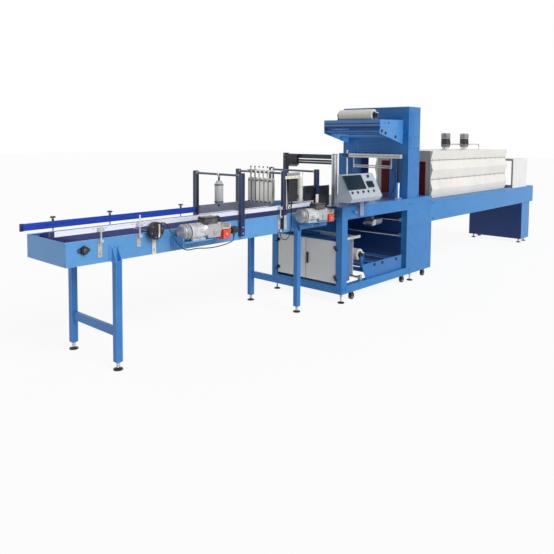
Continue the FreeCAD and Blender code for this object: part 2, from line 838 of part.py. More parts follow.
def feet():
    """Levelling feet under the conveyor legs, the wrapping frame and the end support."""
    mid = half_conv + plate_thick + leg_side / 2
    feet_all = [levelling_foot(x, side * mid, leg_foot_gap)
                for x in (leg_one, leg_two) for side in (-1, 1)]
    feet_all += [levelling_foot(x, side * (half_frame - post_wide / 2), frame_low)
                 for x in (frame_x0 + post_long / 2, open_x1 + rear_foot_at) for side in (-1, 1)]
    support_half = half_frame - support_in
    support_end = tunnel_end - support_back
    ends = (support_end - support_len + support_foot_in, support_end - support_foot_in)
    feet_all += [levelling_foot(x, side * (support_half - support_foot_in), support_low)
                 for x in ends for side in (-1, 1)]
    node("levelling_feet", group(feet_all))


def guide_rails():
    """The long guide rails on both sides of the belt and the plate that follows the far one."""
    y = rail_gap_y
    far = box_to(rail_far_start, rail_far_end, y, y + rail_thick, rail_far_low,
                 rail_far_low + rail_far_high)
    node("guide_rail_far", far)
    near = box_to(rail_near_start, rail_near_end, -y - rail_thick, -y, rail_near_low,
                  rail_near_low + rail_near_high)
    node("guide_rail_near", near)
    y = half_conv + portal_shim - rail_thick
    low = conv_top + lane_plate_up
    plate = box_to(portal_one + portal_post / 2, conv_len - lane_plate_back, y, y + rail_thick,
                   low, low + lane_plate_high)
    node("lane_plate_far", plate)


def slotted_plate(x, low, high, side, wide):
    """A flat bracket with two slots, screwed to the outside of a side plate."""
    y0 = -half_conv - slot_plate_thick if side < 0 else half_conv
    plate = box_to(x - wide / 2, x + wide / 2, y0, y0 + slot_plate_thick, low, high)
    tall = (Size.of(high) - low) / 4
    slot_half = slot_plate_thick * 0.7
    slots = []
    for k in (1, 3):
        mid = Size.of(low) + tall * k
        slots.append(box_to(x - slot_half, x + slot_half, y0 - 1, y0 + slot_plate_thick + 1,
                            mid - tall / 3, mid + tall / 3))
    return cut(plate, slots)


def rail_clamp(x, side, low, tall, grip):
    """A slotted plate, an arm, an upright rod and the block that grips a rail's back."""
    rail_y = rail_gap_y + rail_thick
    arm_low, arm_top = conv_top - 23, conv_top - 5
    plate_out = half_conv + slot_plate_thick
    arm_out = rail_y + 34
    half = clamp_long / 2

    def across(inner, outer):
        return (inner, outer) if side > 0 else (-outer, -inner)

    arm_y = across(plate_out, arm_out)
    block_y = across(rail_y, arm_out)
    rod_y = side * (rail_y + 22)
    rod_low = arm_low + 8
    return [slotted_plate(x, low, arm_top, side, slot_plate_wide),
            box_to(x - half * 0.7, x + half * 0.7, arm_y[0], arm_y[1], arm_low, arm_top),
            rod("z", x, rod_y, rod_low, rod_dia, tall - rod_low),
            box_to(x - half, x + half, block_y[0], block_y[1], grip, grip + clamp_high)]


def rail_clamps():
    """Brackets, rods and clamps that carry the guide rails, and the lane cord's gland."""
    low = conv_top - 131
    grip = rail_near_low + 4
    rod_top = rail_near_low + 24
    clamp_three = portal_two - clamp_three_back
    third = rail_clamp(clamp_three, -1, low, rod_top, grip)
    third.append(box_to(clamp_three - 6, clamp_three + 18, -half_conv - 26, -half_conv,
                        low - 26, low, "cord_gland"))
    near = [rail_clamp(clamp_one, -1, low, rod_top, grip),
            rail_clamp(clamp_two, -1, conv_top - 96, rail_near_low + 92, grip), third]
    node("rail_clamps_near", group([fuse(parts) for parts in near]))
    far = []
    knob_top = conv_top + knob_up
    knob_high = Size.of(14)
    for x in (knob_one, knob_two, rail_far_end - knob_three_back):
        parts = rail_clamp(x, 1, low, knob_top, rail_far_low + 4)
        parts.append(cone("z", x, rail_gap_y + rail_thick + 22, knob_top - knob_high, 14, 38, knob_high))
        far.append(fuse(parts))
    node("rail_clamps_far", group(far))


def drum_unit():
    """The round sensor head on its slotted bracket beside the near rail."""
    x, z = drum_unit_at, conv_top + drum_unit_up
    deep, radius = drum_unit_deep, drum_unit_dia / 2
    y0 = -half_conv - drum_unit_gap - deep
    body = turned("drum_unit_body", "y", [
        (0, 0), (0, radius - 14), (3, radius - 12), (3, radius - 8), (0, radius - 6), (8, radius),
        (deep - 6, radius), (deep, radius - 6), (deep, 0)], (x, y0, z))
    arm = box_to(x - 12, x + 12, y0 + deep, -half_conv, z - 40, z - 20)
    plate = slotted_plate(x + 14, conv_top - 171, conv_top - 24, -1, slot_plate_wide)
    bar = box_to(x + 12, x + 20, y0 - 10, y0, z - 18, z + 46)
    gland_x = x + radius * 0.46
    gland = rod("x", gland_x, y0 + deep / 2 - 3, z + gland_rise, gland_dia, sensor_out + x - gland_x)
    node("sensor_drum", fuse([body, arm, plate, bar, gland]))


def handwheel(label, x, y, z):
    """A dished hand wheel that faces the operator, on its short shaft."""
    radius = hand_dia / 2
    wheel = turned(label, "y", [
        (0, 0), (0, 9), (4, 10), (5, radius - 8), (0, radius - 6), (0, radius - 2), (3, radius),
        (hand_thick - 3, radius), (hand_thick, radius - 2), (hand_thick, 0)], (x, y, z))
    hub = rod("y", x, y + hand_thick, z, 34, 28)
    return [wheel, hub]


def finned_barrel(label, x, y, z):
    """The motor's finned barrel: a round core with its fins set evenly about it."""
    radius = motor_dia / 2
    core = radius - fin_high
    barrel = doc.addObject("PartDesign::Body", label + "_barrel")
    ring = sketch_on(barrel, "YZ", label + "_ring")
    circle = Part.Circle(FreeCAD.Vector(0, 0, 0), FreeCAD.Vector(0, 0, 1), core.value)
    ring.addGeometry(circle, False)
    ring.addConstraint(Sketcher.Constraint("Coincident", 0, 3, -1, 1))
    index = ring.addConstraint(Sketcher.Constraint("Radius", 0, core.value))
    ring.setExpression("Constraints[%d]" % index, core.text)
    doc.recompute()
    pad = barrel.newObject("PartDesign::Pad", label + "_core")
    pad.Profile = ring
    bind(pad, Length=body_len)
    fin_sketch = sketch_on(barrel, "YZ", label + "_fin_sketch")
    half = fin_thick / 2
    outline(fin_sketch, [(-half, core - 4), (half, core - 4), (half, radius - 2), (-half, radius - 2)])
    doc.recompute()
    fin = barrel.newObject("PartDesign::Pad", label + "_fin")
    fin.Profile = fin_sketch
    bind(fin, Length=body_len)
    doc.recompute()
    fins = barrel.newObject("PartDesign::PolarPattern", label + "_fins")
    fins.Originals = [fin]
    fins.Axis = (ring, ["N_Axis"])
    fins.Angle = 360.0
    fins.Occurrences = fin_count
    barrel.Tip = fins
    return place(barrel, x, y, z)


def gearmotor(label, x, start_shelf, end_shelf, lip):
    """A finned motor with its cowl, speed variator, worm gear and hand wheel on a shelf."""
    y, z = -motor_y, motor_mid
    radius = motor_dia / 2
    cowl_end = x + cowl_len
    body_end = cowl_end + body_len
    flange_end = body_end + flange_len
    gear_face = flange_end + gear_len
    cowl = turned(label + "_cowl", "x", [
        (0, 0), (0, radius - 12), (6, radius - 3), (14, radius), (cowl_len, radius), (cowl_len, 0)], (x, y, z))
    barrel = finned_barrel(label, cowl_end, y, z)
    rim = flange_len * 0.3
    flange = rod("x", body_end, y, z, motor_dia - 10, rim)
    side = radius - 8
    adapter = box_to(body_end + rim, flange_end, y - side, y + side, z - side, z + side)
    boss_x = flange_end + gear_len * gear_boss_share
    boss_y = y - radius + 6
    gear = [box_to(flange_end, gear_face - 18, y - radius + 14, y + radius - 14, z - radius + 4,
                   z + radius - 10),
            rod("x", gear_face - 18, y, z, motor_dia - 32, 18),
            rod("y", boss_x, boss_y, z - 14, gear_boss_dia, -half_conv - boss_y)]
    half = control_wide / 2
    control = box_to(x + control_start, x + control_start + control_len, y - half, y + half,
                     z + control_up, z + control_up + control_high)
    foot = box_to(cowl_end + 14, body_end + 6, y - 46, y + 46, z - radius - 1, z - radius + 12)
    wheel = handwheel(label + "_wheel", x + wheel_at, y - 28, z + wheel_up)
    node(label, fuse([cowl, barrel, flange, adapter, control, foot] + gear + wheel))
    top = z - radius - 1
    low = top - shelf_thick
    shelf = box_to(start_shelf, end_shelf, y - radius, -half_conv, low, top)
    web = box_to(start_shelf, Size.of(start_shelf) + 8, y - radius + 20, -half_conv, top - 40, top + lip)
    wall = box_to(start_shelf, end_shelf, -half_conv - 6, -half_conv, top - 44, top + 40)
    bore = rod("y", boss_x, -half_conv - 8, z - 14, gear_boss_dia + 4, 10)
    node(label.replace("gearmotor", "motor_bracket"), cut(fuse([shelf, web, wall]), bore))


def switch_box(label, x, wall_y, gland):
    """A red safety switch under its ribbed bracket, with the round black actuator."""
    low = motor_mid - switch_low_drop + switch_lift
    top = low + switch_high
    front = -half_conv - switch_out
    back = front + switch_deep
    plate = fin_plate
    bracket = [box_to(x, x + switch_len, front + 6, wall_y, top, top + plate),
               box_to(x, x + plate, front + 6, wall_y, top, top + switch_rib),
               box_to(x + switch_len - plate, x + switch_len, front + 6, wall_y, top, top + switch_rib)]
    case = switch_case(x, front, back, low, top)
    mid = front + switch_out * 0.22
    z = motor_mid - actuator_drop + switch_lift
    neck = rod("x", x + switch_len, mid, z, actuator_dia * 0.6, actuator_neck)
    head_x0 = x + switch_len + actuator_neck
    radius = actuator_dia / 2
    head = turned(label + "_head", "x", [
        (0, 0), (0, radius - 5), (5, radius), (actuator_len - 14, radius), (actuator_len - 4, radius - 6),
        (actuator_len, radius - 12), (actuator_len, 0)], (head_x0, mid, z))
    parts = [head, neck] + case + bracket
    if gland:
        parts.append(rod("z", head_x0 + actuator_len / 2, mid, z - radius - 18, gland_dia, 24))
    node(label, fuse(parts))


def switch_case(x, front, back, low, top):
    """The switch's case, with its cover a little smaller than the body."""
    cover = Size.of(18)
    inset = Size.of(5)
    return [box_to(x, x + switch_len, front + cover, back, low, top),
            box_to(x + inset, x + switch_len - inset, front, front + cover, low + inset, top - inset)]


def lane_portal(label, x, extra):
    """Two upright profiles clamped on the side plates and a round bar between them."""
    half = portal_post / 2
    mid = half_conv + portal_shim + half
    parts = []
    for side in (-1, 1):
        y0 = side * mid - half
        parts.append(box_to(x - half, x + half, y0, y0 + portal_post, portal_low, portal_top))
        shim = half_conv if side > 0 else -half_conv - portal_shim
        parts.append(box_to(x - half, x + half, shim, shim + portal_shim, portal_low, conv_top - 20))
    reach = mid - half
    parts.append(rod("y", x, -reach, portal_top - bar_drop, portal_bar, 2 * reach))
    node(label, fuse(parts + extra))


def hung_cylinder():
    """The round canister hung from the first portal's bar by a strap and a ring."""
    x, y = portal_one, hung_side
    low = conv_top + hung_up
    radius = hung_dia / 2
    can = turned("hung_cylinder", "z", [
        (0, 0), (0, radius - 10), (10, radius), (hung_high - 26, radius), (hung_high - 10, radius - 12),
        (hung_high, radius - 12), (hung_high, 0)], (x, y, low))
    bar_z = portal_top - bar_drop
    strap = box_to(x - 6, x + 6, y - 8, y + 8, low + hung_high, bar_z)
    ring = rod("y", x, y - 9, bar_z, portal_bar + 16, 18)
    return [can, strap, ring]


def post_bracket():
    """The white angle on the second portal's near post, with its star knob."""
    front = -half_conv - portal_shim - portal_post
    x = portal_two + portal_post / 2 - 14
    low, top = conv_top + bracket_low_up, conv_top + bracket_top_up
    bar_low = top - bracket_wide
    upright = box_to(x, x + bracket_wide, front - bracket_thick, front, low, bar_low)
    bar = box_to(x - 18, x - 18 + bracket_len, front - bracket_thick, front, bar_low, top)
    knob_x, knob_z = x + bracket_wide - 8, low + 17
    knob = turned("star_knob", "y", [(0, 0), (0, 10), (4, 15), (12, 15), (16, 7), (20, 7), (20, 0)],
                  (knob_x, front - bracket_thick - 20, knob_z))
    return [upright, bar, knob]


def post_block():
    """The small white block on the third portal's near post."""
    front = -half_conv - portal_shim - portal_post
    x = portal_three - portal_post / 2 - 22
    return [box_to(x, x + portal_post, front - bracket_thick - 2, front, conv_top + 78, conv_top + 166)]


def lane_stops():
    """A row of slim upright air cylinders hung from the second portal's bar."""
    parts = []
    half = stop_side / 2
    near = portal_bar / 2
    x0 = portal_two + near + face_gap
    bar_z = portal_top - bar_drop
    lug_z = bar_z + near
    low = conv_top + stop_up
    top = low + stop_high
    for k in range(stop_count):
        y = stop_pitch * (k - (stop_count - 1) / 2) + stop_shift
        body = box_to(x0, x0 + stop_side, y - half, y + half, low, top)
        cap = box_to(x0 + 3, x0 + stop_side - 3, y - half + 3, y + half - 3, top, top + 10)
        lug = box_to(portal_two - near - 8, x0 + stop_side, y - 8, y + 8, lug_z, lug_z + lug_high)
        hook = box_to(portal_two - near - 8, portal_two - near - face_gap, y - 8, y + 8, bar_z - 10,
                      lug_z + lug_high)
        neck = rod("z", x0 + half, y, top + 10, 16, lug_z - top - 10)
        fitting = rod("z", x0 + half, y, lug_z + lug_high, 13, 20)
        parts.append(fuse([body, cap, lug, hook, neck, fitting]))
    node("lane_stops", group(parts))


def side_guards():
    """Dark guard panels and a round column between the portals on the operator's side."""
    y1 = -half_conv - guard_gap
    y0 = y1 - guard_thick
    near = portal_post / 2
    x0 = portal_two + near
    low = conv_top + guard_one_up
    top = low + guard_one_high
    mid_y = y1 - 2
    column_x = x0 + column_at
    column_r = column_dia / 2
    head_y = y1 - guard_thick / 2
    gland_x = x0 + 101
    first = fuse([
        box_to(x0, x0 + guard_one_len, y0, y1, low, top),
        box_to(x0, column_x, head_y - head_deep / 2, head_y + head_deep / 2, top, top + head_high),
        rod("z", column_x, mid_y, low - 2, column_dia, guard_one_high + head_high),
        box_to(x0 + guard_one_len, column_x - column_r + 4, y0, y1, low + 28, low + 58),
        rod("z", gland_x, y1 - guard_thick / 2, low - gland_len, gland_dia, gland_len)])
    low = conv_top + guard_two_up
    second = box_to(x0 + guard_two_start, portal_three - near, y0, y1, low, low + guard_two_high)
    low = conv_top + guard_three_up
    third = box_to(portal_three + near, frame_x0 + guard_over, y0, y1, low, low + guard_three_high)
    node("side_guards", group([first, second, third]))


def wrapper_frame():
    """Front posts and the beams that leave the operator's side open."""
    half = half_frame
    parts = []
    top_low = frame_top - top_beam
    for side in (-1, 1):
        y0 = -half if side < 0 else half - post_wide
        parts.append(box_to(frame_x0, open_x0, y0, y0 + post_wide, frame_low, frame_top))
        parts.append(box_to(open_x0, open_x1, y0, y0 + post_wide, frame_low, beam_top))
        parts.append(box_to(open_x0, frame_x1, y0, y0 + post_wide, top_low, frame_top))
    inner = half - post_wide
    parts.append(box_to(frame_x0, open_x0, -inner, inner, frame_low, beam_top))
    parts.append(box_to(frame_x0, frame_x0 + front_beam, -inner, inner, top_low, frame_top - deck_thick))
    parts.append(box_to(open_x0, open_x1, half - skin, half, beam_top, top_low))
    node("wrapper_frame", fuse(parts))
    rear = box_to(open_x1, frame_x1, -half, half, frame_low, top_low)
    seam_z = frame_low + seam_up
    seam = [box_to(open_x1 + seam_in, frame_x1 + 1, side * half - seam_deep, side * half + seam_deep,
                   seam_z, seam_z + seam_high) for side in (-1, 1)]
    node("rear_cabinet", cut(rear, seam))
    deck_low = frame_top - deck_thick
    deck = box_to(frame_x0, frame_x1, -inner, inner, deck_low, frame_top)
    drive_x = open_x0 + drive_at
    drive_z = frame_top - drive_drop
    y = drive_side
    drive = [box_to(drive_x, drive_x + drive_block, y - 40, y + 40, drive_z - drive_half, deck_low),
             rod("x", drive_x + drive_block, y, drive_z, 2 * drive_half, drive_len),
             rod("y", drive_x + drive_block / 2, y - 55, drive_z, drive_wheel, 120)]
    node("wrapper_deck", fuse([deck] + drive))


def electrical_cabinet():
    """The cabinet between the front posts, with its two doors hinged at the posts."""
    half = half_frame - post_wide
    x0 = frame_x0 + door_recess + door_thick + body_gap
    low, high = door_low - body_over, door_low + door_high + body_over
    outer = box_to(x0, x0 + cabinet_deep, -half, half, low, high)
    back_x = x0 + cabinet_deep - cabinet_wall
    rim = half - cabinet_rim
    inner = box_to(x0 - 1, back_x, -rim, rim, low + cabinet_rim, high - cabinet_rim)
    mount = half - mount_in
    mount_x = back_x - stud_len
    plate = box_to(mount_x - mount_thick, mount_x, -mount, mount, low + mount_in, high - mount_in)
    studs = [rod("x", mount_x, y, z, 10, stud_len)
             for y in (20 - mount, mount - 20) for z in (low + mount_in + 20, high - mount_in - 20)]
    node("cabinet_body", fuse([cut(outer, inner), plate] + studs))
    pins = []
    door_wide = half - door_side_gap - door_gap / 2
    leaf_x = frame_x0 + door_recess
    pin_x = frame_x0 - pin_out
    for side, name in ((-1, "near"), (1, "far")):
        pin_y = side * (half - pin_in)
        edge = side * (half - door_side_gap)
        y0 = edge if side < 0 else edge - door_wide
        parts = [box_to(leaf_x, leaf_x + door_thick, y0, y0 + door_wide, door_low, door_low + door_high)]
        arm = (pin_y, pin_y + 6) if side < 0 else (pin_y - 6, pin_y)
        strap = (edge, edge + strap_wide) if side < 0 else (edge - strap_wide, edge)
        tab = (pin_y - 25, pin_y) if side < 0 else (pin_y, pin_y + 25)
        for z in (door_low + hinge_in, door_low + door_high - hinge_in - hinge_high):
            parts.append(rod("z", pin_x, pin_y, z, hinge_dia, hinge_high))
            parts.append(box_to(pin_x, leaf_x, arm[0], arm[1], z, z + hinge_high))
            parts.append(box_to(leaf_x - 3, leaf_x, strap[0], strap[1], z, z + hinge_high))
            foot_z = z - hinge_foot
            pins.append(fuse([rod("z", pin_x, pin_y, foot_z, hinge_dia, hinge_foot - face_gap),
                              box_to(pin_x - 4, frame_x0, tab[0], tab[1], foot_z, z - face_gap)]))
        if side < 0:
            handle_y = -door_gap / 2 - 24
            handle_z = door_low + handle_up
            parts.append(box_to(leaf_x - handle_deep, leaf_x, handle_y - handle_wide / 2,
                                handle_y + handle_wide / 2, handle_z, handle_z + handle_high))
        node("cabinet_door_" + name, fuse(parts))
    node("cabinet_hinges", group(pins))


def gantry():
    """The tall sealing gantry with the product gate, cheeks and far shoulder."""
    half = gantry_half
    x0, x1 = gantry_start, gantry_start + gantry_deep
    block = box_to(x0, x1, -half, half, frame_top, gantry_top)
    gate = box_to(x0 - 1, x1 + 1, -gate_half, gate_half, frame_top - 1, gate_top)
    recess_z = gate_top + recess_up
    recess = box_to(x0 - 1, x0 + recess_deep, -recess_side, recess_far, recess_z, recess_z + recess_high)
    node("gantry", cut(block, [gate, recess]))
    cheek_x = x0 - cheek_thick
    near = box_to(cheek_x, x0, -lift_y + cheek_gap, -gate_half, frame_top, gate_top)
    clip_y, clip_z = cheek_cord_y + 6, gate_top - 94
    clip = box_to(cheek_x - thin_cord_dia - 0.5, cheek_x, clip_y - 12, clip_y + 12, clip_z, clip_z + 24)
    gland = box_to(cheek_x - thin_cord_dia - 2, cheek_x, cheek_cord_y - 7, cheek_cord_y + 7, frame_top,
                   frame_top + cheek_gland)
    far = box_to(cheek_x, x0, far_cheek_in, half_frame - far_cheek_gap, frame_top, gate_top)
    slot = box_to(cheek_x - 1, cheek_x + 20, cheek_slot_at, cheek_slot_at + cheek_slot_wide,
                  gate_top - 200, gate_top - 45)
    shoulder = box_to(x0 - shoulder_lead, x1, half, half + shoulder_wide, frame_top, gate_top + shoulder_up)
    node("gate_cheeks", group([fuse([near, clip, gland]), cut(far, slot), shoulder]))


def seal_unit():
    """The moving seal bar with its lift cylinder, film rods and the fixed lift rod."""
    x0 = gantry_start - cheek_thick - seal_gap - seal_bar_thick
    mid_x = x0 + seal_bar_thick / 2
    low = gate_top
    top = low + seal_bar_high
    bar = box_to(x0, x0 + seal_bar_thick, -lift_y - lift_dia / 2, seal_far, low, top)
    bar = cut(bar, rod("z", mid_x, guide_at, low - 1, lift_rod + 2 * run_gap, seal_bar_high + 2))
    tube_low = low - lift_len
    bore = rod("z", mid_x, -lift_y, tube_low - 1, lift_rod + 2 * run_gap, lift_len - 20)
    barrel = cut(rod("z", mid_x, -lift_y, tube_low, lift_dia, lift_len), bore)
    rods = [rod("y", mid_x - 14, bar_rod_near, low - drop, bar_rod, bar_rod_len)
            for drop in (bar_rod_one, bar_rod_two)]
    arm_ys = (bar_rod_near, bar_rod_near + bar_rod_len - bar_arm_thick)
    arms = [box_to(mid_x - 20, mid_x - 8, y, y + bar_arm_thick, low - bar_arm_high, low) for y in arm_ys]
    node("seal_bar", fuse([bar, barrel] + rods + arms))
    foot = frame_top + lift_foot
    half = lift_plate / 2
    posts = []
    for y, end in ((-lift_y, tube_low + lift_over), (guide_at, top + lift_over)):
        plate = box_to(mid_x - half - 2, mid_x + half + 2, y - half, y + half, frame_top, foot)
        posts.append(fuse([rod("z", mid_x, y, foot, lift_rod, end - foot), plate]))
    node("lift_rods", group(posts))


def film_roll(label, x, y0, z):
    """A part used roll of film on its cardboard core and shaft."""
    bore = core_dia - 2 * core_wall
    film = cut(rod("y", x, y0, z, roll_dia, film_wide), rod("y", x, y0 - 1, z, core_dia, film_wide + 2))
    core = cut(rod("y", x, y0, z, core_dia, film_wide), rod("y", x, y0 - 1, z, bore, film_wide + 2))
    shaft = rod("y", x, y0 - shaft_out, z, bore, film_wide + 2 * shaft_out)
    node(label, fuse([film, core, shaft]))


def roll_stands(x, z, near, low):
    """The two notched stands in which a roll's shaft lies."""
    stands = []
    half = stand_long / 2
    bore = core_dia - 2 * core_wall + 2 * run_gap
    for y in (near - stand_gap - stand_thick, near + film_wide + stand_gap):
        stand = box_to(x - half, x + half, y, y + stand_thick, low, z + 6)
        notch = rod("y", x, y - 1, z, bore, stand_thick + 2)
        mouth = box_to(x - bore / 2, x + bore / 2, y - 1, y + stand_thick + 1, z, z + 20)
        stands.append(cut(stand, [notch, mouth]))
    return stands


def upper_cradle():
    """Tapered side plates on the gantry face with rollers, front plate and roll stands."""
    x0, x1 = cradle_start, gantry_start
    half, thick, top = cradle_half, cradle_plate, cradle_top
    points = [(x0, top - cradle_front_high), (x1, top - cradle_back_high), (x1, top + 6), (x0, top)]
    near = profile("cradle_side_near", "XZ", points, -half, thick)
    far = profile("cradle_side_far", "XZ", points, half - thick, thick)
    holes = [rod("y", x0 + along, -half - 1, top - drop, dia, thick + 2)
             for along, drop, dia in ((105, 38, 16), (182, 35, 26), (419, 32, 16))]
    parts = [cut(near, holes), far]
    inner = half - thick
    parts.append(box_to(x0, x0 + thick, -inner, inner, top - cradle_front, top))
    for along, drop in ((40, 126), (120, 148), (330, 188)):
        parts.append(rod("y", x0 + along, -inner, top - drop, cradle_roller_dia, 2 * inner))
    shelf_top = top - cradle_shelf_drop
    parts += roll_stands(upper_roll_x, upper_roll_z, upper_roll_mid - film_wide / 2, shelf_top)
    parts.append(box_to(x0 + thick, upper_roll_x + 60, -inner, inner, shelf_top - cradle_shelf, shelf_top))
    node("upper_cradle", fuse(parts))


def lower_cradle():
    """Long side plates on the floor beams with stands and rollers for the lower roll."""
    low = beam_top
    x1 = open_x1 - lower_cradle_back
    top = low + lower_cradle_high
    y0 = -half_frame + lower_cradle_in
    thick = cradle_plate
    points = [(web_x + 42, low + 80), (web_x + 90, low), (x1, low), (x1, top), (web_x + 10, top)]
    parts = [profile("lower_side_near", "XZ", points, y0, thick),
             profile("lower_side_far", "XZ", points, -y0 - thick, thick)]
    inner = y0 + thick
    for back in (570, 410, 120):
        parts.append(rod("y", x1 - back, inner, low + lower_roller_up, cradle_roller_dia, -2 * inner))
    shelf_low = low + lower_shelf_up
    shelf_top = shelf_low + cradle_shelf
    parts += roll_stands(lower_roll_x, lower_roll_z, lower_roll_mid - film_wide / 2, shelf_top)
    parts.append(box_to(lower_roll_x - lower_shelf_half, lower_roll_x + lower_shelf_half, inner, -inner,
                        shelf_low, shelf_top))
    node("lower_cradle", fuse(parts))


def film_path():
    """The film web in front of the lower roll and the rollers that lead it."""
    low = beam_top
    inside = half_frame - post_wide
    web_low = low + web_up
    web_high = web_low + web_len
    near = lower_roll_mid - film_wide / 2
    reach = web_roller / 2 + face_gap
    web = box_to(web_x - web_thick / 2, web_x + web_thick / 2, near, near + film_wide,
                 web_low + reach, web_high - reach)
    node("film_web", web)
    blocks = [box_to(web_x - 20, web_x + 20, y, y + 30, low, low + 50)
              for y in (-inside - 35, inside + 5)]
    bottom = rod("y", web_x, -inside - 5, web_low, web_roller, 2 * inside + 10)
    arms = [box_to(open_x0, web_x + 14, y, y + 8, web_high - 14, web_high + 14)
            for y in (-inside - 10, inside + 2)]
    top = rod("y", web_x, -inside - 2, web_high, web_roller, 2 * inside + 4)
    rollers = [fuse(blocks + [bottom]), fuse(arms + [top])]
    for back, up in ((42, rear_roller_low), (30, rear_roller_top)):
        x, z = open_x1 - back, frame_low + up
        ears = [box_to(x - 16, open_x1, y, y + 6, z - 22, z + 22) for y in (-inside + 2, inside - 8)]
        rollers.append(fuse(ears + [rod("y", x, -inside + 8, z, web_roller, 2 * inside - 16)]))
    node("film_rollers", group(rollers))


def control_panel():
    """The sloping operator's console and the arm that carries it."""
    back = -panel_back
    low, top = panel_low, panel_low + panel_high
    points = [(back, low), (back, top), (back - panel_top_deep, top), (back - panel_deep, low + panel_nose),
              (back - panel_foot_deep, low)]
    panel_x = frame_x0 - panel_lead
    case = profile("console_case", "YZ", points[::-1], panel_x, panel_wide)
    node("control_panel", case)
    x = panel_x + arm_at
    end = x + arm_wide
    wall = -half_frame - arm_foot
    foot_low = frame_top - 103
    arm = fuse([
        box_to(x, end, back, back + arm_plate, foot_low, low + 120),
        box_to(x, end, wall, -half_frame, foot_low, frame_top - 16),
        box_to(x + 8, end - 8, back, wall, frame_top - 76, frame_top - 36)])
    knob = rod("y", x - 68, -half_frame - 34, frame_top - 61, 26, 34)
    node("panel_arm", group([arm, knob]))


def tunnel_base():
    """Side beams from the wrapping frame to the outfeed, joined under the belt."""
    half = half_frame
    parts = []
    for side in (-1, 1):
        y0 = -half if side < 0 else half - base_web
        parts.append(box_to(frame_x1, tunnel_end, y0, y0 + base_web, base_low, base_top))
    inside = half - base_web
    parts.append(box_to(frame_x1, tunnel_end, -inside, inside, base_low, base_low + base_floor))
    radius = tunnel_drum / 2
    thick = tunnel_belt_thick
    z = base_top - tunnel_belt_drop - thick - radius
    wide = 2 * (inside - tunnel_belt_in)
    ends = (frame_x1 + tunnel_drum_in, tunnel_end - tunnel_drum_in)
    node("tunnel_belt", slot_loop(ends[0], ends[1], z, radius, thick, wide, "tunnel_loop"))
    for x in ends:
        parts.append(rod("y", x, -inside, z, tunnel_drum - 2 * face_gap, 2 * inside))
    node("tunnel_base", fuse(parts))


def tunnel_hood():
    """The insulated hood with its product channel and three bent covers a side."""
    x0, x1 = hood_start, hood_end
    core_half = hood_half - ridge - cover_back
    block = box_to(x0 + 6, x1 - 6, -core_half, core_half, base_top, hood_top)
    channel = box_to(x0, x1, -channel_half, channel_half, base_top - 1, channel_top)
    node("tunnel_hood", cut(block, channel))
    low, top = base_top, hood_top
    third = hood_high * cover_share
    bands = [(low, low + third, True), (low + third, low + 2 * third, True), (low + 2 * third, top, False)]
    covers = []
    for side, name in ((-1, "near"), (1, "far")):
        for k, (z0, z1, bent) in enumerate(bands):
            inner = side * core_half
            valley = side * (hood_half - ridge)
            peak = side * hood_half
            z0 = Size.of(z0) + (cover_seam / 2 if k else 0)
            z1 = Size.of(z1) - cover_seam / 2
            if bent:
                points = [(inner, z0), (valley, z0), (peak, (z0 + z1) / 2), (valley, z1), (inner, z1)]
            else:
                points = [(inner, z0), (valley, z0), (peak, z1), (inner, z1)]
            if side < 0:
                points = points[::-1]
            covers.append(profile("cover_%s_%d" % (name, k), "YZ", points, x0, x1 - x0))
    node("hood_covers", group(covers))
    strips = []
    pitch = (2 * channel_half) / strip_count
    strip_high = channel_top - base_top + 30
    for x in (x0 + 2, x1 - 6):
        for k in range(strip_count):
            y = -channel_half + pitch * k + strip_seam / 2
            strips.append(box(x, y, base_top + 4, strip_thick, pitch - strip_seam, strip_high))
    node("tunnel_curtains", group(strips))


def fan_motor(label, x, conduit):
    """An upright fan motor: flange, finned body, cowl, terminal box and its conduit."""
    y = -fan_out
    z = hood_top
    r = fan_dia / 2
    neck = fan_high * 0.68
    body = turned(label + "_body", "z", [
        (0, 0), (0, r + 8), (8, r + 8), (14, r * 0.7), (38, r * 0.7), (44, r - 6), (neck, r - 6),
        (neck, r), (fan_high - 12, r), (fan_high, r - 14), (fan_high, 0)], (x, y, z))
    ribs = []
    for k in range(fan_rib_count):
        angle = 2 * math.pi * k / fan_rib_count
        rib = doc.addObject("Part::Box", label + "_rib")
        bind(rib, Length=7, Width=4, Height=neck - 44)
        reach = r - 7
        base = (Size.of(x) + reach * math.cos(angle) + 2 * math.sin(angle),
                y + reach * math.sin(angle) - 2 * math.cos(angle), z + 44)
        place(rib, *base, axis=(0, 0, 1), angle=math.degrees(angle))
        ribs.append(rib)
    side = box_to(x + r - 12, x + r + 24, y - 30, y + 30, z + 62, z + 128)
    node(label, fuse([body, side] + ribs + conduit))


def fan_motors():
    """Both fan motors, the conduit between them and the one that bends into the hood."""
    y, z = -fan_out, hood_top + conduit_up
    r = fan_dia / 2
    one, two = hood_start + fan_one_at, hood_start + fan_two_at
    end = hood_start + conduit_end
    entry = two - r - 16
    start = one + r + 24
    straight = rod("x", start, y, z, conduit_dia, entry - start)
    fan_motor("fan_motor_1", one, [straight])
    start = two + r + 24
    level = rod("x", start, y, z, conduit_dia, end - conduit_bend - start)
    elbow = doc.addObject("Part::Torus", "conduit_elbow")
    bind(elbow, Radius1=conduit_bend, Radius2=conduit_dia / 2)
    elbow.Angle3 = 90.0
    place(elbow, end - conduit_bend, y, z - conduit_bend, (1, 0, 0), 90)
    drop = rod("z", end, y, hood_top, conduit_dia, z - conduit_bend - hood_top)
    collar = rod("z", end, y, hood_top, conduit_dia * 1.6, 8)
    gland = box_to(entry, two - r + 12, y - 14, y + 14, z - 14, z + 14)
    fan_motor("fan_motor_2", two, [gland, level, elbow, drop, collar])


